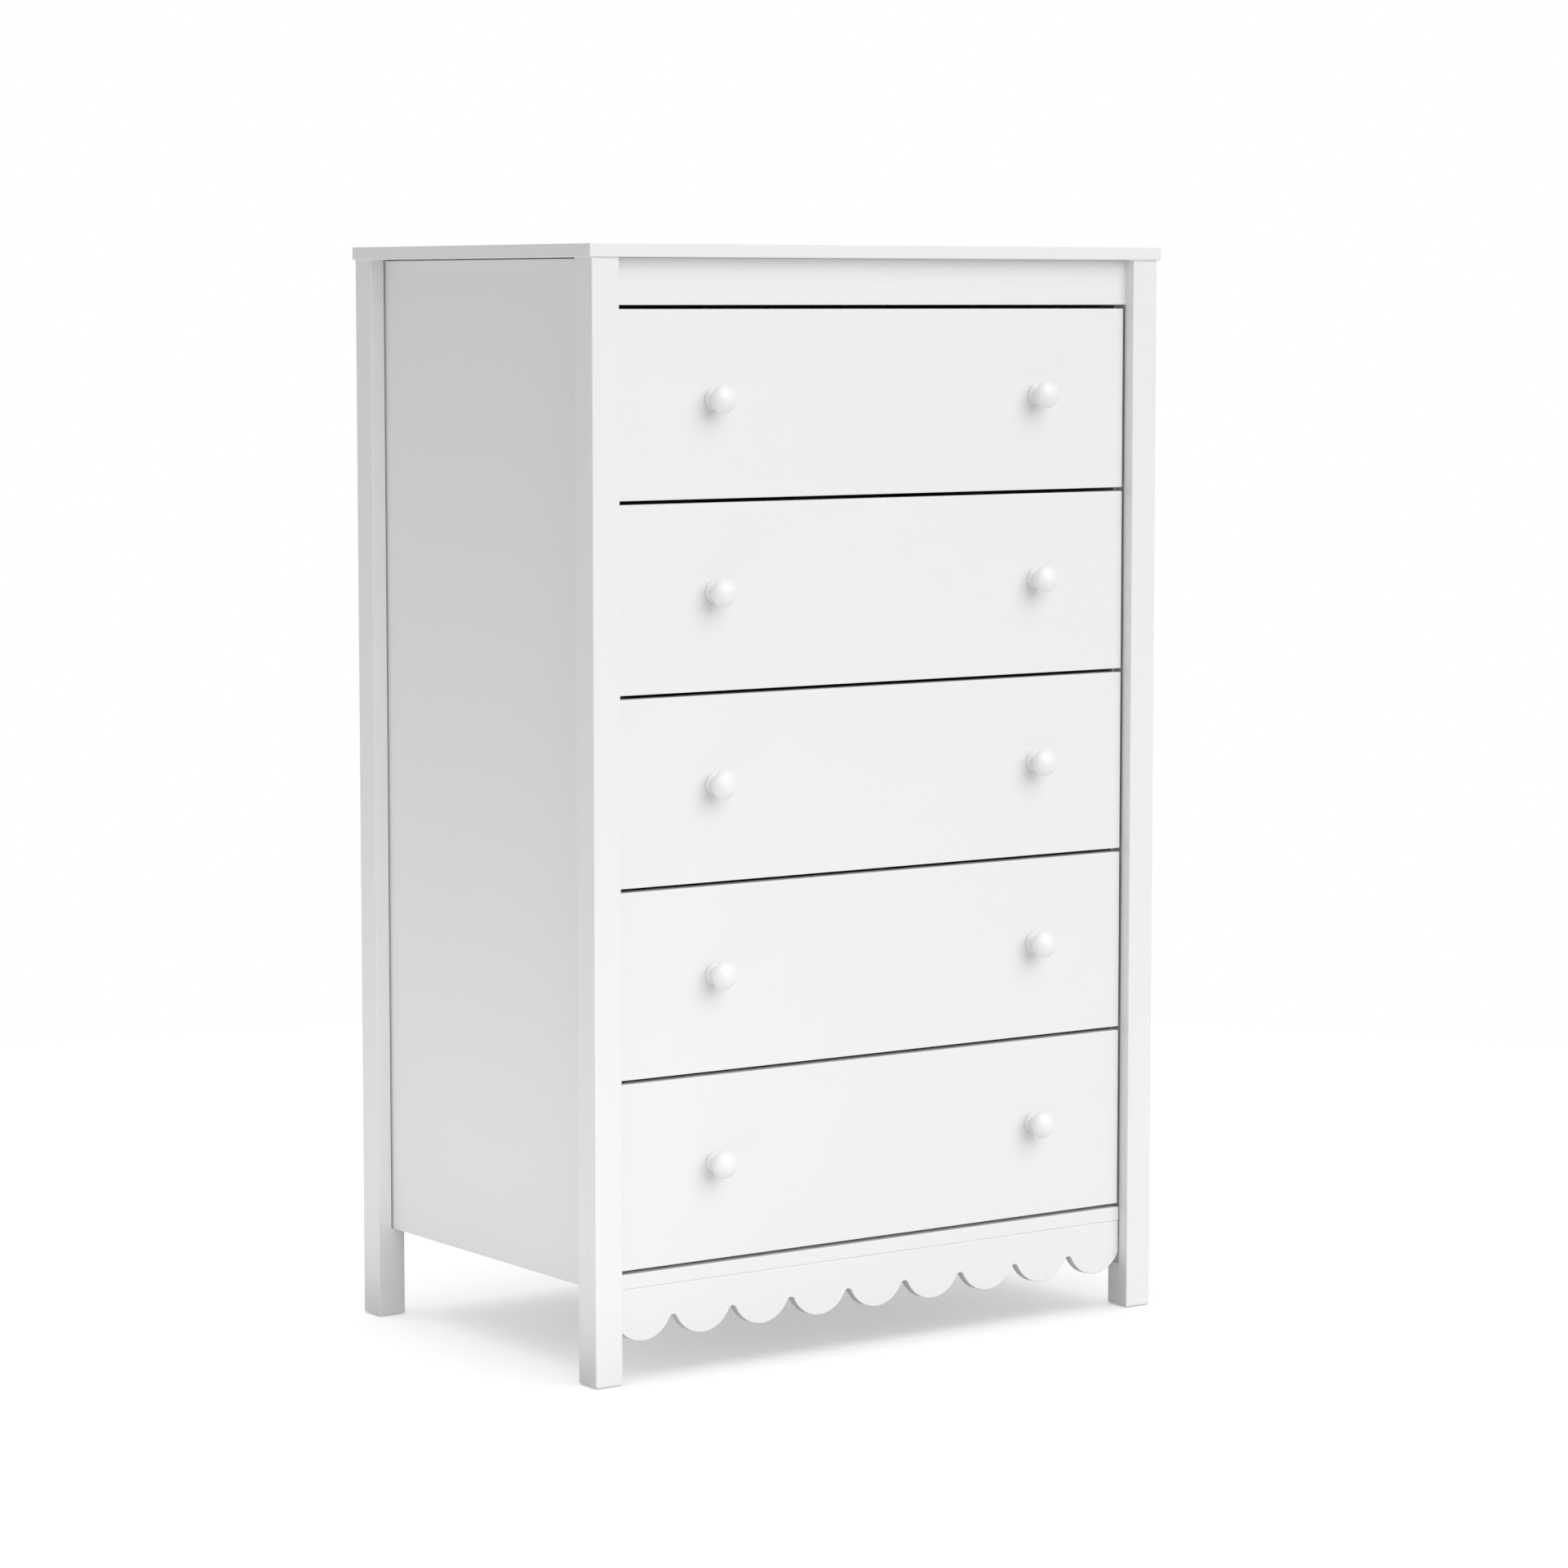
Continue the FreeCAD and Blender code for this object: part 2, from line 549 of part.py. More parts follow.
def arc(start, middle, end):
    """Round edge of a knob's half section, through three points."""
    return Part.Arc(section_point(start), section_point(middle), section_point(end)).toShape()


def section_point(point):
    """A point of the half section, with the knob's axis along -Y."""
    radius, out = point
    return FreeCAD.Vector(radius, -out, 0)


def knob_foot():
    """Flange and neck of the half section, up to where the neck meets the head."""
    rim, top = KNOB_FLANGE_RADIUS, KNOB_FLANGE_THICKNESS
    corner = KNOB_FLANGE_EDGE
    cut = corner * (1 - math.sqrt(0.5))
    land = (rim - corner, top + corner)
    neck_foot = (KNOB_NECK_RADIUS + KNOB_NECK_FOOT, top + corner)
    end_radius = KNOB_NECK_RADIUS + KNOB_NECK_END
    neck_end = (end_radius, KNOB_HEAD_CENTRE - head_height(end_radius))
    edges = [line((0, 0), (rim, 0)), line((rim, 0), (rim, top))]
    edges.append(arc((rim, top), (rim - cut, top + corner - cut), land))
    edges.append(line(land, neck_foot))
    edges.append(arc(neck_foot, (KNOB_NECK_RADIUS, KNOB_NECK_WAIST), neck_end))
    return edges, neck_end


def cap_offset():
    """How far the centre of the head's wide arc lies behind the middle of the head."""
    flat = KNOB_PROJECTION - KNOB_HEAD_CENTRE - KNOB_RIM_RADIUS
    wide = KNOB_HEAD_RADIUS - KNOB_RIM_RADIUS
    return (wide ** 2 - flat ** 2) / (2 * flat)


def head_height(radius):
    """Half thickness of the head on its wide arc, at a radius from the axis."""
    offset = cap_offset()
    wide_arc = KNOB_PROJECTION - KNOB_HEAD_CENTRE + offset
    return math.sqrt(wide_arc ** 2 - radius ** 2) - offset


def knob_head(neck_end):
    """Head of the half section: a wide arc, the rim's arc, and a wide arc to the front."""
    offset = cap_offset()
    wide_arc = KNOB_PROJECTION - KNOB_HEAD_CENTRE + offset
    turn = math.atan2(KNOB_HEAD_RADIUS - KNOB_RIM_RADIUS, offset)
    shoulder = wide_arc * math.sin(turn)
    rise = wide_arc * math.cos(turn) - offset
    back_middle = (shoulder + neck_end[0]) / 2
    front_middle = shoulder / 2
    edges = []
    edges.append(arc(neck_end, (back_middle, KNOB_HEAD_CENTRE - head_height(back_middle)),
                     (shoulder, KNOB_HEAD_CENTRE - rise)))
    edges.append(arc((shoulder, KNOB_HEAD_CENTRE - rise), (KNOB_HEAD_RADIUS, KNOB_HEAD_CENTRE),
                     (shoulder, KNOB_HEAD_CENTRE + rise)))
    edges.append(arc((shoulder, KNOB_HEAD_CENTRE + rise),
                     (front_middle, KNOB_HEAD_CENTRE + head_height(front_middle)), (0, KNOB_PROJECTION)))
    return edges


def knob_outline():
    """Half section of a knob."""
    foot, neck_end = knob_foot()
    return foot + knob_head(neck_end) + [line((0, KNOB_PROJECTION), (0, 0))]


def knobs(base):
    """Both knobs of a drawer, turned from one outline, each with a blind hole for its screw."""
    outline = Part.Wire(Part.__sortEdges__(knob_outline()))
    turned = Part.Face(outline).revolve(FreeCAD.Vector(0, 0, 0), Y, 360)
    turned = turned.cut(rod(KNOB_SCREW_RADIUS, KNOB_SCREW_DEPTH, 0, 0, 0, -Y))
    return [turned.translated(FreeCAD.Vector(x, FACE, z)) for x, z in knob_places(base)]


def drawer_fixings(base):
    """Screws and bolts that travel with one drawer."""
    return knob_screws(base) + on_both_sides(drawer_slide_screws(base) + box_screws(base) + box_bolts(base))


def write_case():
    """Write the nodes of the case."""
    write("top_panel", [top_panel()])
    for name, leg in (("front_leg", front_leg()), ("rear_leg", rear_leg())):
        write(name + "_right", leg)
        write(name + "_left", [mirrored(board) for board in leg])
    write("side_panel_right", [side_panel()])
    write("side_panel_left", [mirrored(side_panel())])
    write("top_rail", [top_rail()])
    write("rear_rail", [rear_rail()])
    write("bottom_board", [bottom_board()])
    write("apron", [apron()])
    write("back_panel", [back_panel()])
    write("floor_glides", glides())
    write("slide_case_members_right", case_members())
    write("slide_case_members_left", [mirrored(member) for member in case_members()])
    write("case_dowels", side_dowels() + top_dowels())
    cams = [without(seat, [slot] + cam_bolts()) for seat, slot in zip(cam_seats(), cam_slots())]
    write("case_cam_fittings", on_both_sides(cams + cam_bolts()))
    write("case_slide_screws", on_both_sides(case_slide_screws()))


def write_drawer(number, base):
    """Write the nodes of one drawer."""
    name = f"drawer_{number}_"
    write(name + "front", [drawer_front(base)])
    write(name + "sides", box_sides(base))
    write(name + "back", [box_back(base)])
    write(name + "bottom", [drawer_bottom(base, 0)])
    write(name + "knobs", knobs(base))
    write(name + "slide_members", drawer_members(base))
    write(name + "slide_middles", middle_members(base))
    write(name + "fixings", drawer_fixings(base))


def main():
    """Write every node of the chest."""
    os.makedirs("parts", exist_ok=True)
    write_case()
    for number, base in enumerate(drawer_bases(), 1):
        write_drawer(number, base)


main()
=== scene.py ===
"""Looks of a tall chest of drawers, built around its fixed CAD frame."""
import sys
import json
import logging
import math
from dataclasses import dataclass, field
from enum import Enum
from typing import Sequence

import bmesh
import bpy
from mathutils import Euler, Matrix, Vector

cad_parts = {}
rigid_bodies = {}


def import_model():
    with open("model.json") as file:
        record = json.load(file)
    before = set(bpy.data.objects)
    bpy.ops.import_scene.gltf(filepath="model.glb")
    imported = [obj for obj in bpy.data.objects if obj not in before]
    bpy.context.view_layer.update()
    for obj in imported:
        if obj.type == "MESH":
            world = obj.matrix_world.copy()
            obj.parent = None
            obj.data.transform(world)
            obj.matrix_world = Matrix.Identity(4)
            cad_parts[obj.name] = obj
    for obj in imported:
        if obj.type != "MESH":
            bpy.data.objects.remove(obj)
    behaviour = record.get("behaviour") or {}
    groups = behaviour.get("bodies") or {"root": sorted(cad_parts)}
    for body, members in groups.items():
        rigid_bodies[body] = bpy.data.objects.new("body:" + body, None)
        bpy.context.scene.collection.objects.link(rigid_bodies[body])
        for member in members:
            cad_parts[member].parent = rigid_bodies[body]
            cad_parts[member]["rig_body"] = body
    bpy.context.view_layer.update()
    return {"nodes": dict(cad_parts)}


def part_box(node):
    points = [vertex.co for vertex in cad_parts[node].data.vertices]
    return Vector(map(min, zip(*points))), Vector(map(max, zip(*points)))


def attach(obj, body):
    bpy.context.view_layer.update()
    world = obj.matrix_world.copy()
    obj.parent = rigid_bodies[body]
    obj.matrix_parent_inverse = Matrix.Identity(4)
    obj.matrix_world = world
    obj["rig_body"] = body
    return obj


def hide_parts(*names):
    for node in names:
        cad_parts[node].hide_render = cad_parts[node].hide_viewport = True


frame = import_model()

LOG = logging.getLogger("chest")
MM = 0.001
DRAWERS = range(1, 6)

MERGE_REACH = 1e-6
AXIS_REACH = 1e-7
SHEET_CREASE = 30.0
SCREW_CREASE = 35.0
KNOB_CREASE = 50.0
RUNNER_SEED = 11
DRAWER_SEED = 20
QUARTER_TURN = math.pi / 2

Colour = tuple[float, float, float, float]
Point = tuple[float, float]


class Slot(Enum):
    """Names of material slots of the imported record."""

    WHITE = "white_paint"
    KNOB = "knob_paint"
    STEEL = "zinc_steel"


class Facing(Enum):
    """Turns that lay a small part's own +Z axis along an axis of the chest."""

    FRONT = (math.pi / 2, 0.0, 0.0)
    BACK = (-math.pi / 2, 0.0, 0.0)
    RIGHT = (0.0, math.pi / 2, 0.0)
    LEFT = (0.0, -math.pi / 2, 0.0)
    AS_MADE = (0.0, 0.0, 0.0)
    OTHER_HAND = (0.0, math.pi, 0.0)


@dataclass(frozen=True)
class Place:
    """Where one repeated part goes, and which way it faces."""

    point: tuple[float, float, float]
    facing: Facing


OUTWARD = ((1.0, Facing.RIGHT), (-1.0, Facing.LEFT))
INWARD = ((1.0, Facing.LEFT), (-1.0, Facing.RIGHT))


def on_both_sides(
    reach: float, spots: Sequence[Point], sides: Sequence[tuple[float, Facing]]
) -> list[Place]:
    """Places at plus and minus a reach in X for every Y and Z, facing outwards or inwards."""
    return [Place((sign * reach, y, z), facing) for y, z in spots for sign, facing in sides]


def grey(level: float) -> Colour:
    """A neutral tone between black at 0 and white at 1."""
    return (level, level, level, 1.0)


# ---------------------------------------------------------------- node trees
class TreeBuilder:
    """Adds nodes to one tree and joins their sockets."""

    def __init__(self, tree: bpy.types.NodeTree) -> None:
        """Keep the tree that the nodes go into."""
        self.tree = tree

    def node(
        self, kind: str, inputs: dict[str | int, object] | None = None, **settings: object
    ) -> bpy.types.Node:
        """Add one node.

        Args:
            kind: the node's Blender type name.
            inputs: a value or a source socket for each named or numbered input.
            settings: properties of the node itself.

        Returns:
            The new node.
        """
        made = self.tree.nodes.new(kind)
        for name, value in settings.items():
            setattr(made, name, value)
        self.feed(made, inputs or {})
        return made

    def feed(self, node: bpy.types.Node, inputs: dict[str | int, object]) -> None:
        """Join a source socket to each named input, or set the input's value."""
        for name, value in inputs.items():
            if isinstance(value, bpy.types.NodeSocket):
                self.tree.links.new(value, node.inputs[name])
            else:
                node.inputs[name].default_value = value

    def maths(self, operation: str, *values: object) -> bpy.types.NodeSocket:
        """Add a Math node of either kind of tree and return its result."""
        made = self.node("ShaderNodeMath", dict(enumerate(values)), operation=operation)
        return made.outputs[0]

    def plus(self, first: object, second: object) -> bpy.types.NodeSocket:
        """Sum of two numbers."""
        return self.maths("ADD", first, second)

    def minus(self, first: object, second: object) -> bpy.types.NodeSocket:
        """Difference of two numbers."""
        return self.maths("SUBTRACT", first, second)

    def times(self, first: object, second: object) -> bpy.types.NodeSocket:
        """Product of two numbers."""
        return self.maths("MULTIPLY", first, second)

    def scaled(self, value: object, low: float, high: float) -> bpy.types.NodeSocket:
        """Map a value from 0 to 1 onto low to high, with its ends held."""
        made = self.node("ShaderNodeMapRange", {0: value, 3: low, 4: high})
        return made.outputs[0]

    def window(self, value: object, start: float, end: float) -> bpy.types.NodeSocket:
        """Map a value from start to end onto 0 to 1, with its ends held."""
        made = self.node("ShaderNodeMapRange", {0: value, 1: start, 2: end})
        return made.outputs[0]

    def blend(self, factor: object, first: object, second: object) -> bpy.types.NodeSocket:
        """Mix two colours and return the result."""
        made = self.node("ShaderNodeMix", {0: factor, 6: first, 7: second}, data_type="RGBA")
        return made.outputs[2]

    def noise(
        self, vector: object, scale: object, detail: float = 3.0, rough: float = 0.5
    ) -> bpy.types.NodeSocket:
        """Add a noise texture on a vector and return its value."""
        values = {"Vector": vector, "Scale": scale, "Detail": detail, "Roughness": rough}
        return self.node("ShaderNodeTexNoise", values).outputs[0]


@dataclass(frozen=True)
class SocketSpec:
    """One input or output of a node group: its name, kind and first value."""

    name: str
    kind: str
    value: object = None


def new_group(
    name: str, tree_type: str, inputs: Sequence[SocketSpec], outputs: Sequence[SocketSpec]
) -> tuple[TreeBuilder, bpy.types.Node, bpy.types.Node]:
    """Make an empty node group with named sockets.

    Args:
        name: the group's name.
        tree_type: ShaderNodeTree or GeometryNodeTree.
        inputs: the input sockets.
        outputs: the output sockets.

    Returns:
        A builder for the group, its input node and its output node.
    """
    tree = bpy.data.node_groups.new(name, tree_type)
    for direction, specs in (("INPUT", inputs), ("OUTPUT", outputs)):
        for spec in specs:
            made = tree.interface.new_socket(spec.name, in_out=direction, socket_type=spec.kind)
            if spec.value is not None:
                made.default_value = spec.value
    build = TreeBuilder(tree)
    return build, build.node("NodeGroupInput"), build.node("NodeGroupOutput")


class SharedEffects:
    """Shader groups that more than one finish uses, each built once."""

    def __init__(self) -> None:
        """Build every shared group."""
        self.film = self._paint_film()
        self.grain = self._wood_grain()
        self.edge_wear_and_highlight = self._edge_wear_and_highlight_mask()
        self.dust = self._resting_dust()

    @staticmethod
    def _paint_film() -> bpy.types.NodeTree:
        """Sprayed film: fine orange peel, slow waves, and a faint drift of tone and gloss."""
        inputs = [
            SocketSpec("Peel Scale", "NodeSocketFloat", 900.0),
            SocketSpec("Peel Depth", "NodeSocketFloat", 0.4),
            SocketSpec("Wave Scale", "NodeSocketFloat", 9.0),
        ]
        outputs = [
            SocketSpec("Height", "NodeSocketFloat"),
            SocketSpec("Tone", "NodeSocketFloat"),
            SocketSpec("Gloss", "NodeSocketFloat"),
        ]
        build, source, result = new_group("paint_film", "ShaderNodeTree", inputs, outputs)
        place = build.node("ShaderNodeTexCoord").outputs["Object"]
        peel = build.noise(place, source.outputs["Peel Scale"], 2.0)
        waves = build.noise(place, source.outputs["Wave Scale"], 2.0)
        tone = build.noise(place, 2.3, 4.0, 0.55)
        gloss = build.noise(place, 38.0, 5.0, 0.6)
        height = build.times(peel, source.outputs["Peel Depth"])
        height = build.plus(height, waves)
        build.feed(result, {"Height": height, "Tone": tone, "Gloss": gloss})
        return build.tree

    @staticmethod
    def _wood_grain() -> bpy.types.NodeTree:
        """Straight grain: growth bands, fibres and pores along the board's long axis."""
        inputs = [
            SocketSpec("Stretch", "NodeSocketVector", (1.0, 1.0, 1.0)),
            SocketSpec("Band Scale", "NodeSocketFloat", 26.0),
            SocketSpec("Fibre Scale", "NodeSocketFloat", 420.0),
        ]
        outputs = [
            SocketSpec("Band", "NodeSocketFloat"),
            SocketSpec("Fibre", "NodeSocketFloat"),
            SocketSpec("Height", "NodeSocketFloat"),
        ]
        build, source, result = new_group("wood_grain", "ShaderNodeTree", inputs, outputs)
        place = build.node("ShaderNodeTexCoord").outputs["Object"]
        mapping = build.node("ShaderNodeMapping", {"Vector": place, "Scale": source.outputs["Stretch"]})
        mapped = mapping.outputs[0]
        bend = build.noise(mapped, 5.0, 3.0)
        bends = {0: build.scaled(bend, -0.05, 0.05), 2: build.scaled(bend, 0.04, -0.04)}
        offset = build.node("ShaderNodeCombineXYZ", bends)
        shift = build.node("ShaderNodeVectorMath", {0: mapped, 1: offset.outputs[0]}, operation="ADD")
        values = {
            "Vector": shift.outputs[0],
            "Scale": source.outputs["Band Scale"],
            "Distortion": 2.2,
            "Detail": 2.0,
        }
        rings = build.node("ShaderNodeTexWave", values, wave_type="BANDS", bands_direction="DIAGONAL")
        streaks = build.noise(mapped, 34.0, 4.0, 0.6)
        streak_share = 0.7
        band = build.times(build.window(rings.outputs["Fac"], 0.1, 0.95), 1.0 - streak_share)
        band = build.plus(band, build.times(build.window(streaks, 0.3, 0.7), streak_share))
        fibre = build.noise(mapped, source.outputs["Fibre Scale"], 4.0, 0.65)
        pores = build.window(build.noise(mapped, 900.0, 2.0), 0.62, 0.74)
        height = build.minus(fibre, build.times(pores, 0.6))
        build.feed(result, {"Band": band, "Fibre": fibre, "Height": height})
        return build.tree

    @staticmethod
    def _edge_wear_and_highlight_mask() -> bpy.types.NodeTree:
        """Mask of edges, broken up by noise: worn edges on wood, steel and plastic, and the edges that the
        paint lightens as a painted highlight.
        """
        inputs = [
            SocketSpec("Radius", "NodeSocketFloat", 0.002),
            SocketSpec("Breakup Scale", "NodeSocketFloat", 60.0),
        ]
        outputs = [SocketSpec("Mask", "NodeSocketFloat")]
        build, source, result = new_group("edge_rub", "ShaderNodeTree", inputs, outputs)
        place = build.node("ShaderNodeTexCoord").outputs["Object"]
        soft = build.node("ShaderNodeBevel", {"Radius": source.outputs["Radius"]}, samples=4)
        sharp = build.node("ShaderNodeNewGeometry").outputs["Normal"]
        turn = build.node("ShaderNodeVectorMath", {0: soft.outputs[0], 1: sharp}, operation="DOT_PRODUCT")
        edge = build.window(turn.outputs["Value"], 0.995, 0.85)
        rough = build.window(build.noise(place, source.outputs["Breakup Scale"], 4.0), 0.38, 0.62)
        build.feed(result, {"Mask": build.times(edge, rough)})
        return build.tree

    @staticmethod
    def _resting_dust() -> bpy.types.NodeTree:
        """Mask of fine dust on faces that look up."""
        inputs = [SocketSpec("Patch Scale", "NodeSocketFloat", 14.0)]
        outputs = [SocketSpec("Mask", "NodeSocketFloat")]
        build, source, result = new_group("resting_dust", "ShaderNodeTree", inputs, outputs)
        place = build.node("ShaderNodeTexCoord").outputs["Object"]
        normal = build.node("ShaderNodeNewGeometry").outputs["Normal"]
        up = build.node("ShaderNodeSeparateXYZ", {0: normal}).outputs[2]
        level = build.window(up, 0.7, 1.0)
        patches = build.window(build.noise(place, source.outputs["Patch Scale"], 6.0, 0.62), 0.35, 0.75)
        build.feed(result, {"Mask": build.times(level, patches)})
        return build.tree


def start_material(name: str) -> tuple[bpy.types.Material, TreeBuilder, bpy.types.Node]:
    """Make a node material with only a Principled shader and its output.

    Args:
        name: the material's name.

    Returns:
        The material, a builder for its tree, and the Principled node.
    """
    material = bpy.data.materials.new(name)
    material.use_nodes = True
    material.node_tree.nodes.clear()
    build = TreeBuilder(material.node_tree)
    shader = build.node("ShaderNodeBsdfPrincipled")
    build.node("ShaderNodeOutputMaterial", {"Surface": shader.outputs[0]})
    return material, build, shader


def add_bump(
    build: TreeBuilder, shader: bpy.types.Node, height: object, distance: float, strength: float
) -> None:
    """Feed a height into the shader's normal through one Bump node."""
    bump = build.node("ShaderNodeBump", {"Height": height, "Distance": distance, "Strength": strength})
    build.feed(shader, {"Normal": bump.outputs[0]})


PAINT_IOR = 1.47
DUST = (0.8, 0.78, 0.75, 1.0)
SHEET_DUST = (0.8, 0.8, 0.79, 1.0)
BARE_STEEL = (0.82, 0.83, 0.85, 1.0)


@dataclass(frozen=True)
class PaintFinish:
    """Sprayed white paint on board or turned wood."""

    name: str
    colour: Colour
    shade: Colour
    roughness: float
    gloss_spread: float
    peel_depth: float
    coat: float
    coat_roughness: float
    # The edge share and lift below paint the paint's edges lighter as a painted highlight; the polish makes
    # those edges less rough.
    edge_wear_and_highlight_share: float = 0.25
    edge_highlight_lift: float = 1.04
    rub_polish: float = 0.06
    film_depth: float = 0.08 * MM

    def material(self, effects: SharedEffects) -> bpy.types.Material:
        """Build the paint's material from the shared effects."""
        material, build, shader = start_material(self.name)
        film = build.node("ShaderNodeGroup", node_tree=effects.film)
        film.inputs["Peel Depth"].default_value = self.peel_depth
        edge_wear_and_highlight = build.node("ShaderNodeGroup", node_tree=effects.edge_wear_and_highlight)
        tone = build.blend(film.outputs["Tone"], self.colour, self.shade)
        # Painted highlight: the edge mask lightens the paint's edges, and the roughness below drops there
        # too.
        edge_highlight = build.times(edge_wear_and_highlight.outputs["Mask"], self.edge_wear_and_highlight_share)
        edge_highlight_colour = tuple(min(1.0, channel * self.edge_highlight_lift) for channel in self.colour[:3]) + (1.0,)
        colour = build.blend(edge_highlight, tone, edge_highlight_colour)
        low, high = self.roughness - self.gloss_spread, self.roughness + self.gloss_spread
        rough = build.scaled(film.outputs["Gloss"], low, high)
        rough = build.minus(rough, build.times(edge_wear_and_highlight.outputs["Mask"], self.rub_polish))
        inputs = {
            "Base Color": colour,
            "Roughness": rough,
            "Coat Weight": self.coat,
            "Coat Roughness": self.coat_roughness,
            "IOR": PAINT_IOR,
        }
        build.feed(shader, inputs)
        add_bump(build, shader, film.outputs["Height"], self.film_depth, 0.35)
        return material


@dataclass(frozen=True)
class WoodFinish:
    """Lacquered or plain wood with its grain along one axis."""

    name: str
    light: Colour
    dark: Colour
    stretch: tuple[float, float, float]
    roughness: float
    band_scale: float = 26.0
    band_share: float = 0.55
    edge_wear_and_highlight_share: float = 0.4
    dust_share: float = 0.12
    grain_depth: float = 0.2 * MM

    def material(self, effects: SharedEffects) -> bpy.types.Material:
        """Build the wood's material from the shared effects."""
        material, build, shader = start_material(self.name)
        grain = build.node("ShaderNodeGroup", node_tree=effects.grain)
        grain.inputs["Stretch"].default_value = self.stretch
        grain.inputs["Band Scale"].default_value = self.band_scale
        edge_wear_and_highlight = build.node("ShaderNodeGroup", node_tree=effects.edge_wear_and_highlight)
        dust = build.node("ShaderNodeGroup", node_tree=effects.dust)
        share = build.times(grain.outputs["Band"], self.band_share)
        share = build.plus(share, build.times(grain.outputs["Fibre"], 1.0 - self.band_share))
        wood = build.blend(share, self.dark, self.light)
        pale = tuple(channel * 0.75 + 0.2 for channel in self.light[:3]) + (1.0,)
        wood = build.blend(build.times(edge_wear_and_highlight.outputs["Mask"], self.edge_wear_and_highlight_share), wood, pale)
        wood = build.blend(build.times(dust.outputs["Mask"], self.dust_share), wood, DUST)
        rough = build.scaled(grain.outputs["Fibre"], self.roughness - 0.08, self.roughness + 0.1)
        build.feed(shader, {"Base Color": wood, "Roughness": rough})
        add_bump(build, shader, grain.outputs["Height"], self.grain_depth, 0.5)
        return material


@dataclass(frozen=True)
class HardboardFinish:
    """Thin pressed-fibre sheet with a pale coated face."""

    name: str
    colour: Colour
    fibre: Colour
    roughness: float
    fibre_share: float = 0.35
    speck_share: float = 0.3
    dust_share: float = 0.1
    felt_depth: float = 0.15 * MM

    def material(self, effects: SharedEffects) -> bpy.types.Material:
        """Build the sheet's material: fibres under a thin coat, with a little dust."""
        material, build, shader = start_material(self.name)
        place = build.node("ShaderNodeTexCoord").outputs["Object"]
        felt = build.noise(place, 260.0, 6.0, 0.7)
        specks = build.window(build.noise(place, 1200.0, 2.0), 0.66, 0.72)
        cloud = build.noise(place, 3.0, 3.0)
        dust = build.node("ShaderNodeGroup", node_tree=effects.dust)
        share = build.times(build.window(felt, 0.3, 0.8), self.fibre_share)
        share = build.plus(share, build.times(specks, self.speck_share))
        share = build.plus(share, build.scaled(cloud, -0.08, 0.12))
        sheet = build.blend(share, self.colour, self.fibre)
        sheet = build.blend(build.times(dust.outputs["Mask"], self.dust_share), sheet, SHEET_DUST)
        rough = build.scaled(felt, self.roughness - 0.1, self.roughness + 0.12)
        build.feed(shader, {"Base Color": sheet, "Roughness": rough})
        add_bump(build, shader, felt, self.felt_depth, 0.5)
        return material


@dataclass(frozen=True)
class SteelFinish:
    """Rolled steel sheet with bright zinc plating."""

    name: str
    colour: Colour
    dull: Colour
    roughness: float
    rub_radius: float = 0.6 * MM
    edge_wear_and_highlight_share: float = 0.5
    line_depth: float = 0.04 * MM

    def material(self, effects: SharedEffects) -> bpy.types.Material:
        """Build the plating: drawn lines along the slide, soft spangle and rubbed edges."""
        material, build, shader = start_material(self.name)
        place = build.node("ShaderNodeTexCoord").outputs["Object"]
        along = build.node("ShaderNodeMapping", {"Vector": place, "Scale": (1.0, 0.02, 1.0)}).outputs[0]
        lines = build.noise(along, 1500.0, 3.0)
        spangle = build.noise(place, 90.0, 4.0, 0.6)
        edge_wear_and_highlight = build.node("ShaderNodeGroup", node_tree=effects.edge_wear_and_highlight)
        edge_wear_and_highlight.inputs["Radius"].default_value = self.rub_radius
        plate = build.blend(build.window(spangle, 0.35, 0.7), self.colour, self.dull)
        plate = build.blend(build.times(edge_wear_and_highlight.outputs["Mask"], self.edge_wear_and_highlight_share), plate, BARE_STEEL)
        rough = build.scaled(spangle, self.roughness - 0.07, self.roughness + 0.1)
        build.feed(shader, {"Base Color": plate, "Metallic": 1.0, "Roughness": rough})
        add_bump(build, shader, lines, self.line_depth, 0.5)
        return material


@dataclass(frozen=True)
class MouldedFinish:
    """Plain moulded plastic with a fine spark-eroded texture."""

    name: str
    colour: Colour
    scuffed: Colour
    roughness: float
    scuff_share: float = 0.4
    texture_depth: float = 0.05 * MM

    def material(self, effects: SharedEffects) -> bpy.types.Material:
        """Build the plastic: texture everywhere and scuffs on its edges."""
        material, build, shader = start_material(self.name)
        place = build.node("ShaderNodeTexCoord").outputs["Object"]
        erosion = build.noise(place, 2200.0, 2.0)
        scuffs = build.window(build.noise(place, 130.0, 5.0, 0.65), 0.5, 0.75)
        edge_wear_and_highlight = build.node("ShaderNodeGroup", node_tree=effects.edge_wear_and_highlight)
        share = build.maths("MAXIMUM", build.times(scuffs, self.scuff_share), edge_wear_and_highlight.outputs["Mask"])
        rough = build.scaled(scuffs, self.roughness, self.roughness + 0.15)
        build.feed(shader, {"Base Color": build.blend(share, self.colour, self.scuffed), "Roughness": rough})
        add_bump(build, shader, erosion, self.texture_depth, 0.6)
        return material


# ---------------------------------------------------------------- mesh helpers
def link(name: str, mesh: bpy.types.Mesh) -> bpy.types.Object:
    """Put a mesh into the scene as an object at the origin."""
    made = bpy.data.objects.new(name, mesh)
    bpy.context.scene.collection.objects.link(made)
    return made


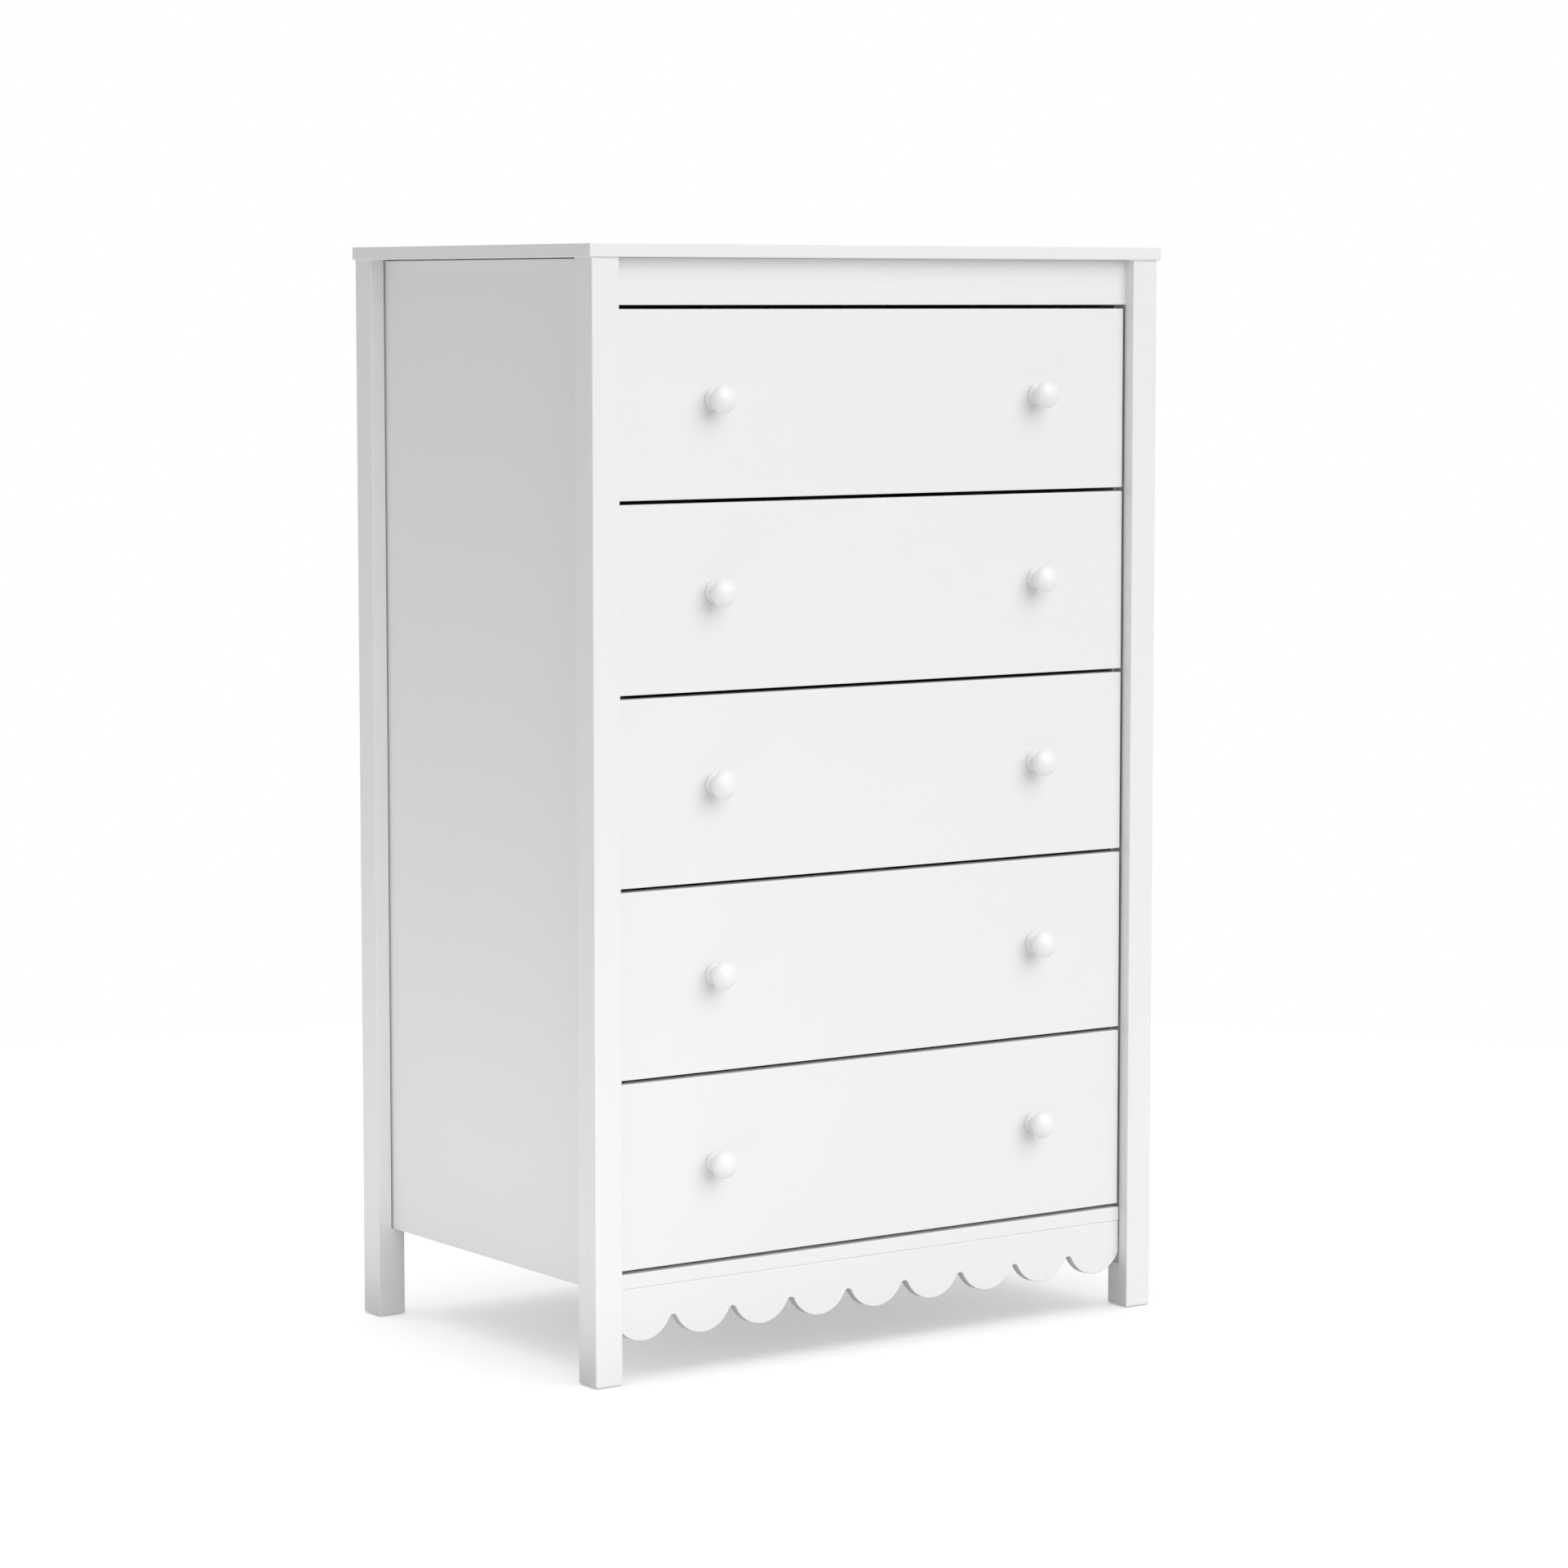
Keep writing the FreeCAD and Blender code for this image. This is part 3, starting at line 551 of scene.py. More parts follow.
def shade_by_angle(mesh: bpy.types.Mesh, degrees: float) -> None:
    """Shade a mesh smooth, with sharp edges where its faces meet at more than an angle."""
    work = bmesh.new()
    work.from_mesh(mesh)
    limit = math.radians(degrees)
    for face in work.faces:
        face.smooth = True
    for edge in work.edges:
        edge.smooth = len(edge.link_faces) == 2 and edge.calc_face_angle() < limit
    work.to_mesh(mesh)
    work.free()


def close_up(work: bmesh.types.BMesh, name: str, degrees: float) -> bpy.types.Mesh:
    """Merge doubles, turn the faces outwards and make the mesh.

    Args:
        work: the faces so far; it is freed here.
        name: the mesh's name.
        degrees: faces that meet at less than this angle are shaded as one.

    Returns:
        The finished mesh.
    """
    bmesh.ops.remove_doubles(work, verts=work.verts, dist=MERGE_REACH)
    bmesh.ops.recalc_face_normals(work, faces=work.faces)
    mesh = bpy.data.meshes.new(name)
    work.to_mesh(mesh)
    work.free()
    shade_by_angle(mesh, degrees)
    return mesh


def ring_at(work: bmesh.types.BMesh, radius: float, height: float, segments: int) -> list[bmesh.types.BMVert]:
    """One ring of points about the Z axis, or the same point all round where it meets the axis."""
    if radius < AXIS_REACH:
        return [work.verts.new((0.0, 0.0, height))] * segments
    angles = [2 * math.pi * step / segments for step in range(segments)]
    return [work.verts.new((radius * math.cos(a), radius * math.sin(a), height)) for a in angles]


def join_rings(work: bmesh.types.BMesh, rings: Sequence[Sequence[bmesh.types.BMVert]]) -> None:
    """Faces between each ring and the next, with triangles where a ring is one point."""
    for low, high in zip(rings, rings[1:]):
        for step in range(len(low)):
            after = (step + 1) % len(low)
            corners = list(dict.fromkeys((low[step], low[after], high[after], high[step])))
            if len(corners) > 2:
                work.faces.new(corners)


def turned_mesh(name: str, section: Sequence[Point], segments: int, degrees: float) -> bpy.types.Mesh:
    """Turn a half section about the Z axis.

    Args:
        name: the mesh's name.
        section: radius and height of each point; the first and last may lie on the axis.
        segments: faces round the axis.
        degrees: faces that meet at less than this angle are shaded as one.

    Returns:
        A closed mesh.
    """
    work = bmesh.new()
    join_rings(work, [ring_at(work, radius, height, segments) for radius, height in section])
    return close_up(work, name, degrees)


def arc_through(start: Point, middle: Point, end: Point, steps: int) -> list[Point]:
    """Points on the round arc through three points, from the first to the last.

    Args:
        start: first point.
        middle: any point between.
        end: last point.
        steps: how many stretches the arc has.

    Returns:
        The points, with both ends.
    """
    (ax, ay), (bx, by), (cx, cy) = start, middle, end
    turn = 2 * (ax * (by - cy) + bx * (cy - ay) + cx * (ay - by))
    squares = [x * x + y * y for x, y in (start, middle, end)]
    ox = (squares[0] * (by - cy) + squares[1] * (cy - ay) + squares[2] * (ay - by)) / turn
    oy = (squares[0] * (cx - bx) + squares[1] * (ax - cx) + squares[2] * (bx - ax)) / turn
    radius = math.hypot(ax - ox, ay - oy)
    first = math.atan2(ay - oy, ax - ox)
    swing = math.atan2(cy - oy, cx - ox) - first
    passed = math.atan2(by - oy, bx - ox) - first
    whole = 2 * math.pi
    if (passed % whole) < (swing % whole):
        swing %= whole
    else:
        swing = swing % whole - whole
    angles = [first + swing * step / steps for step in range(steps + 1)]
    return [(ox + radius * math.cos(angle), oy + radius * math.sin(angle)) for angle in angles]


def rounded_path(points: Sequence[Point], radius: float, steps: int) -> list[Point]:
    """Round the inner corners of an open path whose corners are square.

    Args:
        points: the path's corners.
        radius: of each bend.
        steps: stretches in each bend.

    Returns:
        The path with its bends.
    """
    path = [points[0]]
    for before, corner, after in zip(points, points[1:], points[2:]):
        into = (Vector(corner) - Vector(before)).normalized()
        out = (Vector(after) - Vector(corner)).normalized()
        centre = Vector(corner) - into * radius + out * radius
        for step in range(steps + 1):
            angle = math.pi / 2 * step / steps
            spot = centre - out * radius * math.cos(angle) + into * radius * math.sin(angle)
            path.append((spot.x, spot.y))
    path.append(points[-1])
    return path


def sheet_mesh(
    name: str, path: Sequence[Point], thickness: float, start: float, end: float
) -> bpy.types.Mesh:
    """Bend a sheet along a path in the XZ plane and run it along Y.

    Args:
        name: the mesh's name.
        path: X and Z of the middle of the sheet.
        thickness: of the sheet.
        start: Y of one end.
        end: Y of the other end.

    Returns:
        A closed mesh.
    """
    spots = [Vector(point) for point in path]
    sides = ([], [])
    for index, spot in enumerate(spots):
        ahead = spots[min(index + 1, len(spots) - 1)] - spots[max(index - 1, 0)]
        normal = Vector((-ahead.y, ahead.x)).normalized() * thickness / 2
        sides[0].append(spot + normal)
        sides[1].append(spot - normal)
    loop = sides[0] + sides[1][::-1]
    work = bmesh.new()
    ends = [[work.verts.new((spot.x, y, spot.y)) for spot in loop] for y in (start, end)]
    count = len(loop)
    for index in range(count):
        after = (index + 1) % count
        work.faces.new((ends[0][index], ends[0][after], ends[1][after], ends[1][index]))
    for ring in ends:
        for index in range(len(spots) - 1):
            work.faces.new((ring[index], ring[index + 1], ring[count - 2 - index], ring[count - 1 - index]))
    return close_up(work, name, SHEET_CREASE)


def point_mesh(name: str, places: Sequence[Place]) -> bpy.types.Mesh:
    """Loose points that carry the turn of the part set on each."""
    mesh = bpy.data.meshes.new(name)
    mesh.from_pydata([place.point for place in places], [], [])
    turns = mesh.attributes.new("turn", "FLOAT_VECTOR", "POINT")
    for entry, place in zip(turns.data, places):
        entry.vector = place.facing.value
    return mesh


def run_tree(
    name: str, tree: bpy.types.NodeTree, source: bpy.types.Mesh, values: dict[str, object]
) -> bpy.types.Object:
    """Evaluate a geometry tree on a mesh and keep the result as a plain object.

    Args:
        name: the new object's name.
        tree: the geometry tree.
        source: the mesh that the tree starts from.
        values: a value for each of the tree's named inputs.

    Returns:
        A plain mesh object at the origin, with no modifier.
    """
    carrier = link(name + "_source", source)
    modifier = carrier.modifiers.new("nodes", "NODES")
    modifier.node_group = tree
    for item in tree.interface.items_tree:
        if item.item_type == "SOCKET" and item.in_out == "INPUT" and item.name in values:
            modifier[item.identifier] = values[item.name]
    graph = bpy.context.evaluated_depsgraph_get()
    mesh = bpy.data.meshes.new_from_object(carrier.evaluated_get(graph))
    carrier.modifiers.remove(modifier)
    bpy.data.objects.remove(carrier)
    mesh.name = name
    return link(name, mesh)


# ---------------------------------------------------------------- geometry trees
SLOT_FACES = 16
SLOT_TOOL_DEPTH = 20.0 * MM
GEOMETRY_IN = SocketSpec("Geometry", "NodeSocketGeometry")
FINISH_IN = SocketSpec("Finish", "NodeSocketMaterial")


class SharedTrees:
    """Geometry trees for what repeats, each built once."""

    def __init__(self) -> None:
        """Build every tree."""
        self.set_parts = self._set_parts()
        self.punch = self._punch()
        self.scallops = self._scallops()

    @staticmethod
    def _finish_off(build: TreeBuilder, result: bpy.types.Node, geometry: object, finish: object) -> None:
        """End a tree in real geometry with its material."""
        real = build.node("GeometryNodeRealizeInstances", {0: geometry})
        dressed = build.node("GeometryNodeSetMaterial", {"Geometry": real.outputs[0], "Material": finish})
        build.feed(result, {"Geometry": dressed.outputs[0]})

    def _set_parts(self) -> bpy.types.NodeTree:
        """One part on every point, turned as the point says and spun at random about its axis."""
        inputs = [
            GEOMETRY_IN,
            SocketSpec("Part", "NodeSocketObject"),
            SocketSpec("Most Spin", "NodeSocketFloat", 0.0),
            SocketSpec("Seed", "NodeSocketInt", 0),
            FINISH_IN,
        ]
        build, source, result = new_group("set_parts_on_points", "GeometryNodeTree", inputs, [GEOMETRY_IN])
        values = {"Object": source.outputs["Part"], "As Instance": True}
        part = build.node("GeometryNodeObjectInfo", values)
        turn = build.node("GeometryNodeInputNamedAttribute", {"Name": "turn"}, data_type="FLOAT_VECTOR")
        facing = build.node("FunctionNodeEulerToRotation", {0: turn.outputs[0]})
        limits = {2: 0.0, 3: source.outputs["Most Spin"], "Seed": source.outputs["Seed"]}
        spin = build.node("FunctionNodeRandomValue", limits, data_type="FLOAT")
        values = {"Axis": (0.0, 0.0, 1.0), "Angle": spin.outputs[1]}
        about = build.node("FunctionNodeAxisAngleToRotation", values)
        turns = {0: facing.outputs[0], 1: about.outputs[0]}
        both = build.node("FunctionNodeRotateRotation", turns, rotation_space="LOCAL")
        values = {
            "Points": source.outputs["Geometry"],
            "Instance": part.outputs["Geometry"],
            "Rotation": both.outputs[0],
        }
        placed = build.node("GeometryNodeInstanceOnPoints", values)
        self._finish_off(build, result, placed.outputs[0], source.outputs["Finish"])
        return build.tree

    def _punch(self) -> bpy.types.NodeTree:
        """A row of round-ended slots punched through a sheet, along Y and through X."""
        inputs = [
            GEOMETRY_IN,
            SocketSpec("First", "NodeSocketVector"),
            SocketSpec("Pitch", "NodeSocketFloat", 0.05),
            SocketSpec("Count", "NodeSocketInt", 4),
            SocketSpec("Width", "NodeSocketFloat", 0.006),
            SocketSpec("Length", "NodeSocketFloat", 0.02),
            FINISH_IN,
        ]
        build, source, result = new_group("punched_slots", "GeometryNodeTree", inputs, [GEOMETRY_IN])
        step = build.node("ShaderNodeCombineXYZ", {1: source.outputs["Pitch"]})
        values = {
            "Count": source.outputs["Count"],
            "Start Location": source.outputs["First"],
            "Offset": step.outputs[0],
        }
        row = build.node("GeometryNodeMeshLine", values, mode="OFFSET")
        radius = build.times(source.outputs["Width"], 0.5)
        values = {"Vertices": SLOT_FACES, "Radius": radius, "Depth": SLOT_TOOL_DEPTH}
        tool = build.node("GeometryNodeMeshCylinder", values)
        values = {"Geometry": tool.outputs[0], "Rotation": Facing.RIGHT.value}
        upright = build.node("GeometryNodeTransform", values)
        place = build.node("GeometryNodeInputPosition").outputs[0]
        apart = build.node("ShaderNodeSeparateXYZ", {0: place}).outputs[1]
        half = build.minus(build.times(source.outputs["Length"], 0.5), radius)
        pull = build.times(build.maths("SIGN", apart), half)
        shift = build.node("ShaderNodeCombineXYZ", {1: pull})
        values = {"Geometry": upright.outputs[0], "Offset": shift.outputs[0]}
        slot = build.node("GeometryNodeSetPosition", values)
        values = {"Points": row.outputs[0], "Instance": slot.outputs[0]}
        tools = build.node("GeometryNodeInstanceOnPoints", values)
        real = build.node("GeometryNodeRealizeInstances", {0: tools.outputs[0]})
        values = {"Mesh 1": source.outputs["Geometry"], "Mesh 2": real.outputs[0]}
        cut = build.node("GeometryNodeMeshBoolean", values, operation="DIFFERENCE", solver="EXACT")
        self._finish_off(build, result, cut.outputs[0], source.outputs["Finish"])
        return build.tree

    def _scallops(self) -> bpy.types.NodeTree:
        """A board whose lower edge is a row of round lobes that meet in narrow round notches."""
        lengths = (
            "Half Length", "Top", "Front", "Thickness", "Pitch",
            "Lobe Centre", "Lobe Radius", "Lobe Touch", "Notch Centre", "Notch Radius",
        )
        counts = ("Lobes", "Lobe Steps", "Notch Steps")
        inputs = [SocketSpec(name, "NodeSocketFloat") for name in lengths]
        inputs += [SocketSpec(name, "NodeSocketInt") for name in counts]
        inputs = [GEOMETRY_IN] + inputs + [FINISH_IN]
        build, source, result = new_group("scalloped_board", "GeometryNodeTree", inputs, [GEOMETRY_IN])
        given = source.outputs
        per_lobe = build.plus(given["Lobe Steps"], given["Notch Steps"])
        total = build.minus(build.times(per_lobe, given["Lobes"]), given["Notch Steps"])
        columns = build.plus(total, 1.0)
        values = {"Size X": 1.0, "Size Y": 1.0, "Vertices X": columns, "Vertices Y": 2}
        grid = build.node("GeometryNodeMeshGrid", values)
        position = build.node("GeometryNodeInputPosition").outputs[0]
        place = build.node("ShaderNodeSeparateXYZ", {0: position})
        column = build.times(build.plus(place.outputs[0], 0.5), total)
        column = build.maths("ROUND", column)
        last_lobe = build.minus(given["Lobes"], 1.0)
        whole = build.maths("FLOOR", build.maths("DIVIDE", column, per_lobe))
        lobe = build.maths("MINIMUM", whole, last_lobe)
        step = build.minus(column, build.times(lobe, per_lobe))
        middle = build.times(last_lobe, 0.5)
        centre = build.times(build.minus(lobe, middle), given["Pitch"])
        in_notch = build.maths("GREATER_THAN", step, given["Lobe Steps"])
        lobe_x = self._arc_place(build, step, given["Lobe Steps"], given["Lobe Touch"], given["Lobe Radius"])
        notch_step = build.minus(step, given["Lobe Steps"])
        half_pitch = build.times(given["Pitch"], 0.5)
        notch_touch = build.minus(half_pitch, given["Lobe Touch"])
        notch_x = self._arc_place(build, notch_step, given["Notch Steps"], notch_touch, given["Notch Radius"])
        from_lobe = self._choose(build, in_notch, lobe_x, build.plus(notch_x, half_pitch))
        x = build.plus(centre, from_lobe)
        at_start = build.maths("LESS_THAN", column, 0.5)
        at_end = build.maths("GREATER_THAN", column, build.minus(total, 0.5))
        x = self._choose(build, at_start, x, build.times(given["Half Length"], -1.0))
        x = self._choose(build, at_end, x, given["Half Length"])
        lobe_drop = self._arc_rise(build, build.minus(x, centre), given["Lobe Radius"])
        notch_rise = self._arc_rise(build, notch_x, given["Notch Radius"])
        on_lobe = build.minus(given["Lobe Centre"], lobe_drop)
        on_notch = build.plus(given["Notch Centre"], notch_rise)
        low = self._choose(build, in_notch, on_lobe, on_notch)
        upper = build.maths("GREATER_THAN", place.outputs[1], 0.0)
        z = self._choose(build, upper, low, given["Top"])
        spot = build.node("ShaderNodeCombineXYZ", {0: x, 1: given["Front"], 2: z})
        values = {"Geometry": grid.outputs[0], "Position": spot.outputs[0]}
        face = build.node("GeometryNodeSetPosition", values)
        deep = build.node("ShaderNodeCombineXYZ", {1: 1.0})
        values = {
            "Mesh": face.outputs[0],
            "Offset": deep.outputs[0],
            "Offset Scale": given["Thickness"],
            "Individual": False,
        }
        walls = build.node("GeometryNodeExtrudeMesh", values, mode="FACES")
        flipped = build.node("GeometryNodeFlipFaces", {0: face.outputs[0]})
        both = build.node("GeometryNodeJoinGeometry")
        for part in (walls, flipped):
            build.feed(both, {0: part.outputs[0]})
        values = {"Geometry": both.outputs[0], "Distance": MERGE_REACH}
        merged = build.node("GeometryNodeMergeByDistance", values)
        self._finish_off(build, result, merged.outputs[0], given["Finish"])
        return build.tree

    @staticmethod
    def _choose(
        build: TreeBuilder, test: object, when_false: object, when_true: object
    ) -> bpy.types.NodeSocket:
        """Pick one of two numbers by a test that is 0 or 1."""
        made = build.node("ShaderNodeMix", {0: test, 2: when_false, 3: when_true}, data_type="FLOAT")
        return made.outputs[0]

    @staticmethod
    def _arc_place(
        build: TreeBuilder, step: object, steps: object, reach: object, radius: object
    ) -> bpy.types.NodeSocket:
        """Sideways place of one step on an arc that spans from minus reach to reach."""
        turn = build.maths("ARCSINE", build.maths("DIVIDE", reach, radius))
        share = build.minus(build.times(build.maths("DIVIDE", step, steps), 2.0), 1.0)
        return build.times(build.maths("SINE", build.times(share, turn)), radius)

    @staticmethod
    def _arc_rise(build: TreeBuilder, across: object, radius: object) -> bpy.types.NodeSocket:
        """Height of a round arc above its centre, at a place across it."""
        squares = build.minus(build.times(radius, radius), build.times(across, across))
        return build.maths("SQRT", build.maths("MAXIMUM", squares, 0.0))


# ---------------------------------------------------------------- small parts
class Materials:
    """Every finish of the chest, built once."""

    def __init__(self, effects: SharedEffects) -> None:
        """Build the materials from the finishes."""
        paint = PaintFinish(
            name="white_satin_paint",
            colour=grey(0.84),
            shade=grey(0.82),
            roughness=0.42,
            gloss_spread=0.05,
            peel_depth=0.35,
            coat=0.12,
            coat_roughness=0.3,
        )
        # The knob paint's white is set paler than the case paint as painted light, so the knob heads read
        # brighter; its gloss and coat are its own.
        gloss = PaintFinish(
            name="white_gloss_paint",
            colour=grey(0.89),
            shade=grey(0.87),
            roughness=0.3,
            gloss_spread=0.04,
            peel_depth=0.2,
            coat=0.35,
            coat_roughness=0.18,
        )
        tan, brown = (0.71, 0.53, 0.35, 1.0), (0.56, 0.38, 0.22, 1.0)
        pale_beech, dark_beech = (0.68, 0.47, 0.29, 1.0), (0.52, 0.33, 0.19, 1.0)
        side = WoodFinish("lacquered_wood_sides", tan, brown, stretch=(1.0, 0.05, 1.0), roughness=0.42)
        back = WoodFinish("lacquered_wood_back", tan, brown, stretch=(0.05, 1.0, 1.0), roughness=0.42)
        dowel = WoodFinish(
            "beech_dowels", pale_beech, dark_beech, stretch=(1.0, 0.1, 1.0), roughness=0.6, band_scale=60.0
        )
        tray = HardboardFinish("coated_hardboard", (0.72, 0.70, 0.66, 1.0), (0.5, 0.44, 0.37, 1.0), 0.55)
        rear = HardboardFinish("white_faced_hardboard", (0.80, 0.79, 0.77, 1.0), (0.66, 0.62, 0.57, 1.0), 0.5)
        steel = SteelFinish("zinc_plate", (0.60, 0.61, 0.63, 1.0), (0.48, 0.49, 0.52, 1.0), 0.3)
        glide = MouldedFinish("glide_plastic", grey(0.32), (0.45, 0.45, 0.44, 1.0), 0.45)
        self.paint = paint.material(effects)
        self.gloss = gloss.material(effects)
        self.side_wood = side.material(effects)
        self.back_wood = back.material(effects)
        self.dowel = dowel.material(effects)
        self.tray = tray.material(effects)
        self.rear = rear.material(effects)
        self.steel = steel.material(effects)
        self.glide = glide.material(effects)


def report(piece: bpy.types.Object, body: str) -> None:
    """Log one finished piece."""
    LOG.info("%s: %d faces, rides on %s", piece.name, len(piece.data.polygons), body)


def settle(piece: bpy.types.Object, body: str, nodes: Sequence[str]) -> None:
    """Give a new piece its body and the CAD nodes that it stands for."""
    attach(piece, body)
    if nodes:
        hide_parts(*nodes)
    report(piece, body)


def dress(node: str, material: bpy.types.Material) -> None:
    """Give a CAD node its finish."""
    piece = frame["nodes"][node]
    for index in range(len(piece.data.materials)):
        piece.data.materials[index] = material
    report(piece, piece["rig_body"])


@dataclass
class PartSetter:
    """Sets one small part on many places and makes a plain mesh of the result."""

    trees: SharedTrees
    most_spin: float = 0.0
    seed: int = 7

    def build(
        self, name: str, part: bpy.types.Mesh, places: Sequence[Place], material: bpy.types.Material
    ) -> bpy.types.Object:
        """Set the part on every place.

        Args:
            name: the new piece's name.
            part: the part's mesh, with its own axis along Z.
            places: where it goes and how it faces.
            material: its finish.

        Returns:
            A plain mesh object.
        """
        pattern = link(name + "_part", part)
        values = {"Part": pattern, "Most Spin": self.most_spin, "Seed": self.seed, "Finish": material}
        made = run_tree(name, self.trees.set_parts, point_mesh(name + "_places", places), values)
        bpy.data.objects.remove(pattern)
        return made


@dataclass
class KnobTurning:
    """Round knob with a flange, a waisted neck and a flattened head."""

    projection: float
    head_radius: float
    head_centre: float = 20.0 * MM
    flange_radius: float = 11.25 * MM
    flange_thickness: float = 2.2 * MM
    flange_edge: float = 1.0 * MM
    neck_radius: float = 6.5 * MM
    neck_waist: float = 7.0 * MM
    neck_foot_flare: float = 2.1 * MM
    neck_end_flare: float = 0.7 * MM
    rim_radius: float = 7.0 * MM
    foot_ease: float = 0.2 * MM
    edge_steps: int = 4
    neck_steps: int = 10
    back_steps: int = 6
    rim_steps: int = 18
    face_steps: int = 10
    segments: int = 72

    def _cap(self) -> Point:
        """Offset and radius of the wide arcs that close the head at the front and the back."""
        flat = self.projection - self.head_centre - self.rim_radius
        wide = self.head_radius - self.rim_radius
        offset = (wide**2 - flat**2) / (2 * flat)
        return offset, self.projection - self.head_centre + offset

    def _rise(self, radius: float) -> float:
        """Half thickness of the head at a radius from its axis."""
        offset, wide = self._cap()
        return math.sqrt(wide**2 - radius**2) - offset

    def section(self) -> list[Point]:
        """Half section from the middle of the foot to the front of the head."""
        rim, top, corner, ease = self.flange_radius, self.flange_thickness, self.flange_edge, self.foot_ease
        cut = corner * (1 - math.sqrt(0.5))
        edge_middle, edge_end = (rim - cut, top + corner - cut), (rim - corner, top + corner)
        end_radius = self.neck_radius + self.neck_end_flare
        neck_end = (end_radius, self.head_centre - self._rise(end_radius))
        neck_foot = (self.neck_radius + self.neck_foot_flare, top + corner)
        points = [(0.0, 0.0), (rim - ease, 0.0), (rim, ease), (rim, top)]
        points += arc_through((rim, top), edge_middle, edge_end, self.edge_steps)[1:]
        points += arc_through(neck_foot, (self.neck_radius, self.neck_waist), neck_end, self.neck_steps)
        offset, wide = self._cap()
        turn = math.atan2(self.head_radius - self.rim_radius, offset)
        shoulder = wide * math.sin(turn)
        rise = wide * math.cos(turn) - offset
        back = (shoulder + end_radius) / 2
        low, high = (shoulder, self.head_centre - rise), (shoulder, self.head_centre + rise)
        behind = (back, self.head_centre - self._rise(back))
        points += arc_through(neck_end, behind, low, self.back_steps)[1:]
        points += arc_through(low, (self.head_radius, self.head_centre), high, self.rim_steps)[1:]
        front = (shoulder / 2, self.head_centre + self._rise(shoulder / 2))
        points += arc_through(high, front, (0.0, self.projection), self.face_steps)[1:]
        return points

    def mesh(self) -> bpy.types.Mesh:
        """The turned knob, with its foot at zero."""
        return turned_mesh("knob_turning", self.section(), self.segments, KNOB_CREASE)


@dataclass
class CrossScrew:
    """Screw with a pan or flat head and a cross recess, its head at zero and its shank below."""

    head_radius: float
    head_height: float
    shank_radius: float
    length: float
    domed: bool
    recess_depth: float = 0.9 * MM
    recess_reach: float = 0.6
    flat_edge: float = 0.15 * MM
    segments: int = 16

    def mesh(self) -> bpy.types.Mesh:
        """Build the head with its recess, and the tapered shank."""
        crown = self.head_height if self.domed else 0.0
        edge = 0.0 if self.domed else -self.flat_edge
        under = 0.0 if self.domed else -self.head_height
        slope = [(0.66, crown * 0.9), (0.9, crown * 0.55), (1.0, edge)]
        head = [(0.0, crown), (0.3, crown), (0.42, crown)] + slope
        shank = (
            (self.shank_radius, under),
            (self.shank_radius * 0.9, under - self.length * 0.85),
            (0.0, under - self.length),
        )
        work = bmesh.new()
        rings = [self._ring(work, share, height) for share, height in head]
        rings += [ring_at(work, radius, height, self.segments) for radius, height in shank]
        join_rings(work, rings)
        return close_up(work, "cross_screw", SCREW_CREASE)

    def _ring(self, work: bmesh.types.BMesh, share: float, height: float) -> list[bmesh.types.BMVert]:
        """One ring of the head, pushed in where the cross recess runs."""
        if share == 0.0:
            return [work.verts.new((0.0, 0.0, height - self.recess_depth))] * self.segments
        radius = share * self.head_radius
        ring = []
        for step in range(self.segments):
            angle = 2 * math.pi * step / self.segments
            in_cross = step % (self.segments // 4) == 0
            depth = self.recess_depth * (1 - share) if in_cross and share < self.recess_reach else 0.0
            ring.append(work.verts.new((radius * math.cos(angle), radius * math.sin(angle), height - depth)))
        return ring


KNOB_SCREW = CrossScrew(
    head_radius=4.5 * MM, head_height=2.2 * MM, shank_radius=2.0 * MM, length=30.0 * MM, domed=True
)
RUNNER_SCREW = CrossScrew(
    head_radius=3.6 * MM, head_height=1.2 * MM, shank_radius=1.75 * MM, length=11.0 * MM, domed=True
)
BOX_SCREW = CrossScrew(
    head_radius=3.6 * MM, head_height=1.2 * MM, shank_radius=1.75 * MM, length=34.0 * MM, domed=False
)


@dataclass(frozen=True)
class SlotRow:
    """A row of round-ended slots, placed from the front end of a slide."""

    first: float
    pitch: float
    width: float
    length: float
    count: int = 5


@dataclass
class SlideMember:
    """One right-hand member of a telescopic slide: a rolled channel with punched slots."""

    near: float
    far: float
    half_height: float
    web_at_case: bool
    slots: SlotRow
    sheet: float = 1.2 * MM
    bend: float = 1.6 * MM
    bend_steps: int = 5

    def path(self) -> list[Point]:
        """Middle of the sheet, seen along the slide; X runs from the case towards the drawer."""
        inset = self.sheet / 2
        top = self.half_height - inset
        web, lip = (self.near + inset, self.far) if self.web_at_case else (self.far - inset, self.near)
        corners = [(-lip, top), (-web, top), (-web, -top), (-lip, -top)]
        return rounded_path(corners, self.bend, self.bend_steps)

    def mesh(
        self, trees: SharedTrees, steel: bpy.types.Material, start: float, length: float
    ) -> bpy.types.Mesh:
        """Roll the channel and punch its slots.

        Args:
            trees: the shared geometry trees.
            steel: the finish.
            start: Y of the channel's front end.
            length: of the channel.

        Returns:
            The punched channel, with its slots cut through.
        """
        channel = sheet_mesh("channel", self.path(), self.sheet, start, start + length)
        web = self.near if self.web_at_case else self.far
        values = {
            "First": (-web, start + self.slots.first, 0.0),
            "Pitch": self.slots.pitch,
            "Count": self.slots.count,
            "Width": self.slots.width,
            "Length": self.slots.length,
            "Finish": steel,
        }
        punched = run_tree("punched_channel", trees.punch, channel, values)
        mesh = punched.data
        shade_by_angle(mesh, SHEET_CREASE)
        bpy.data.objects.remove(punched)
        return mesh


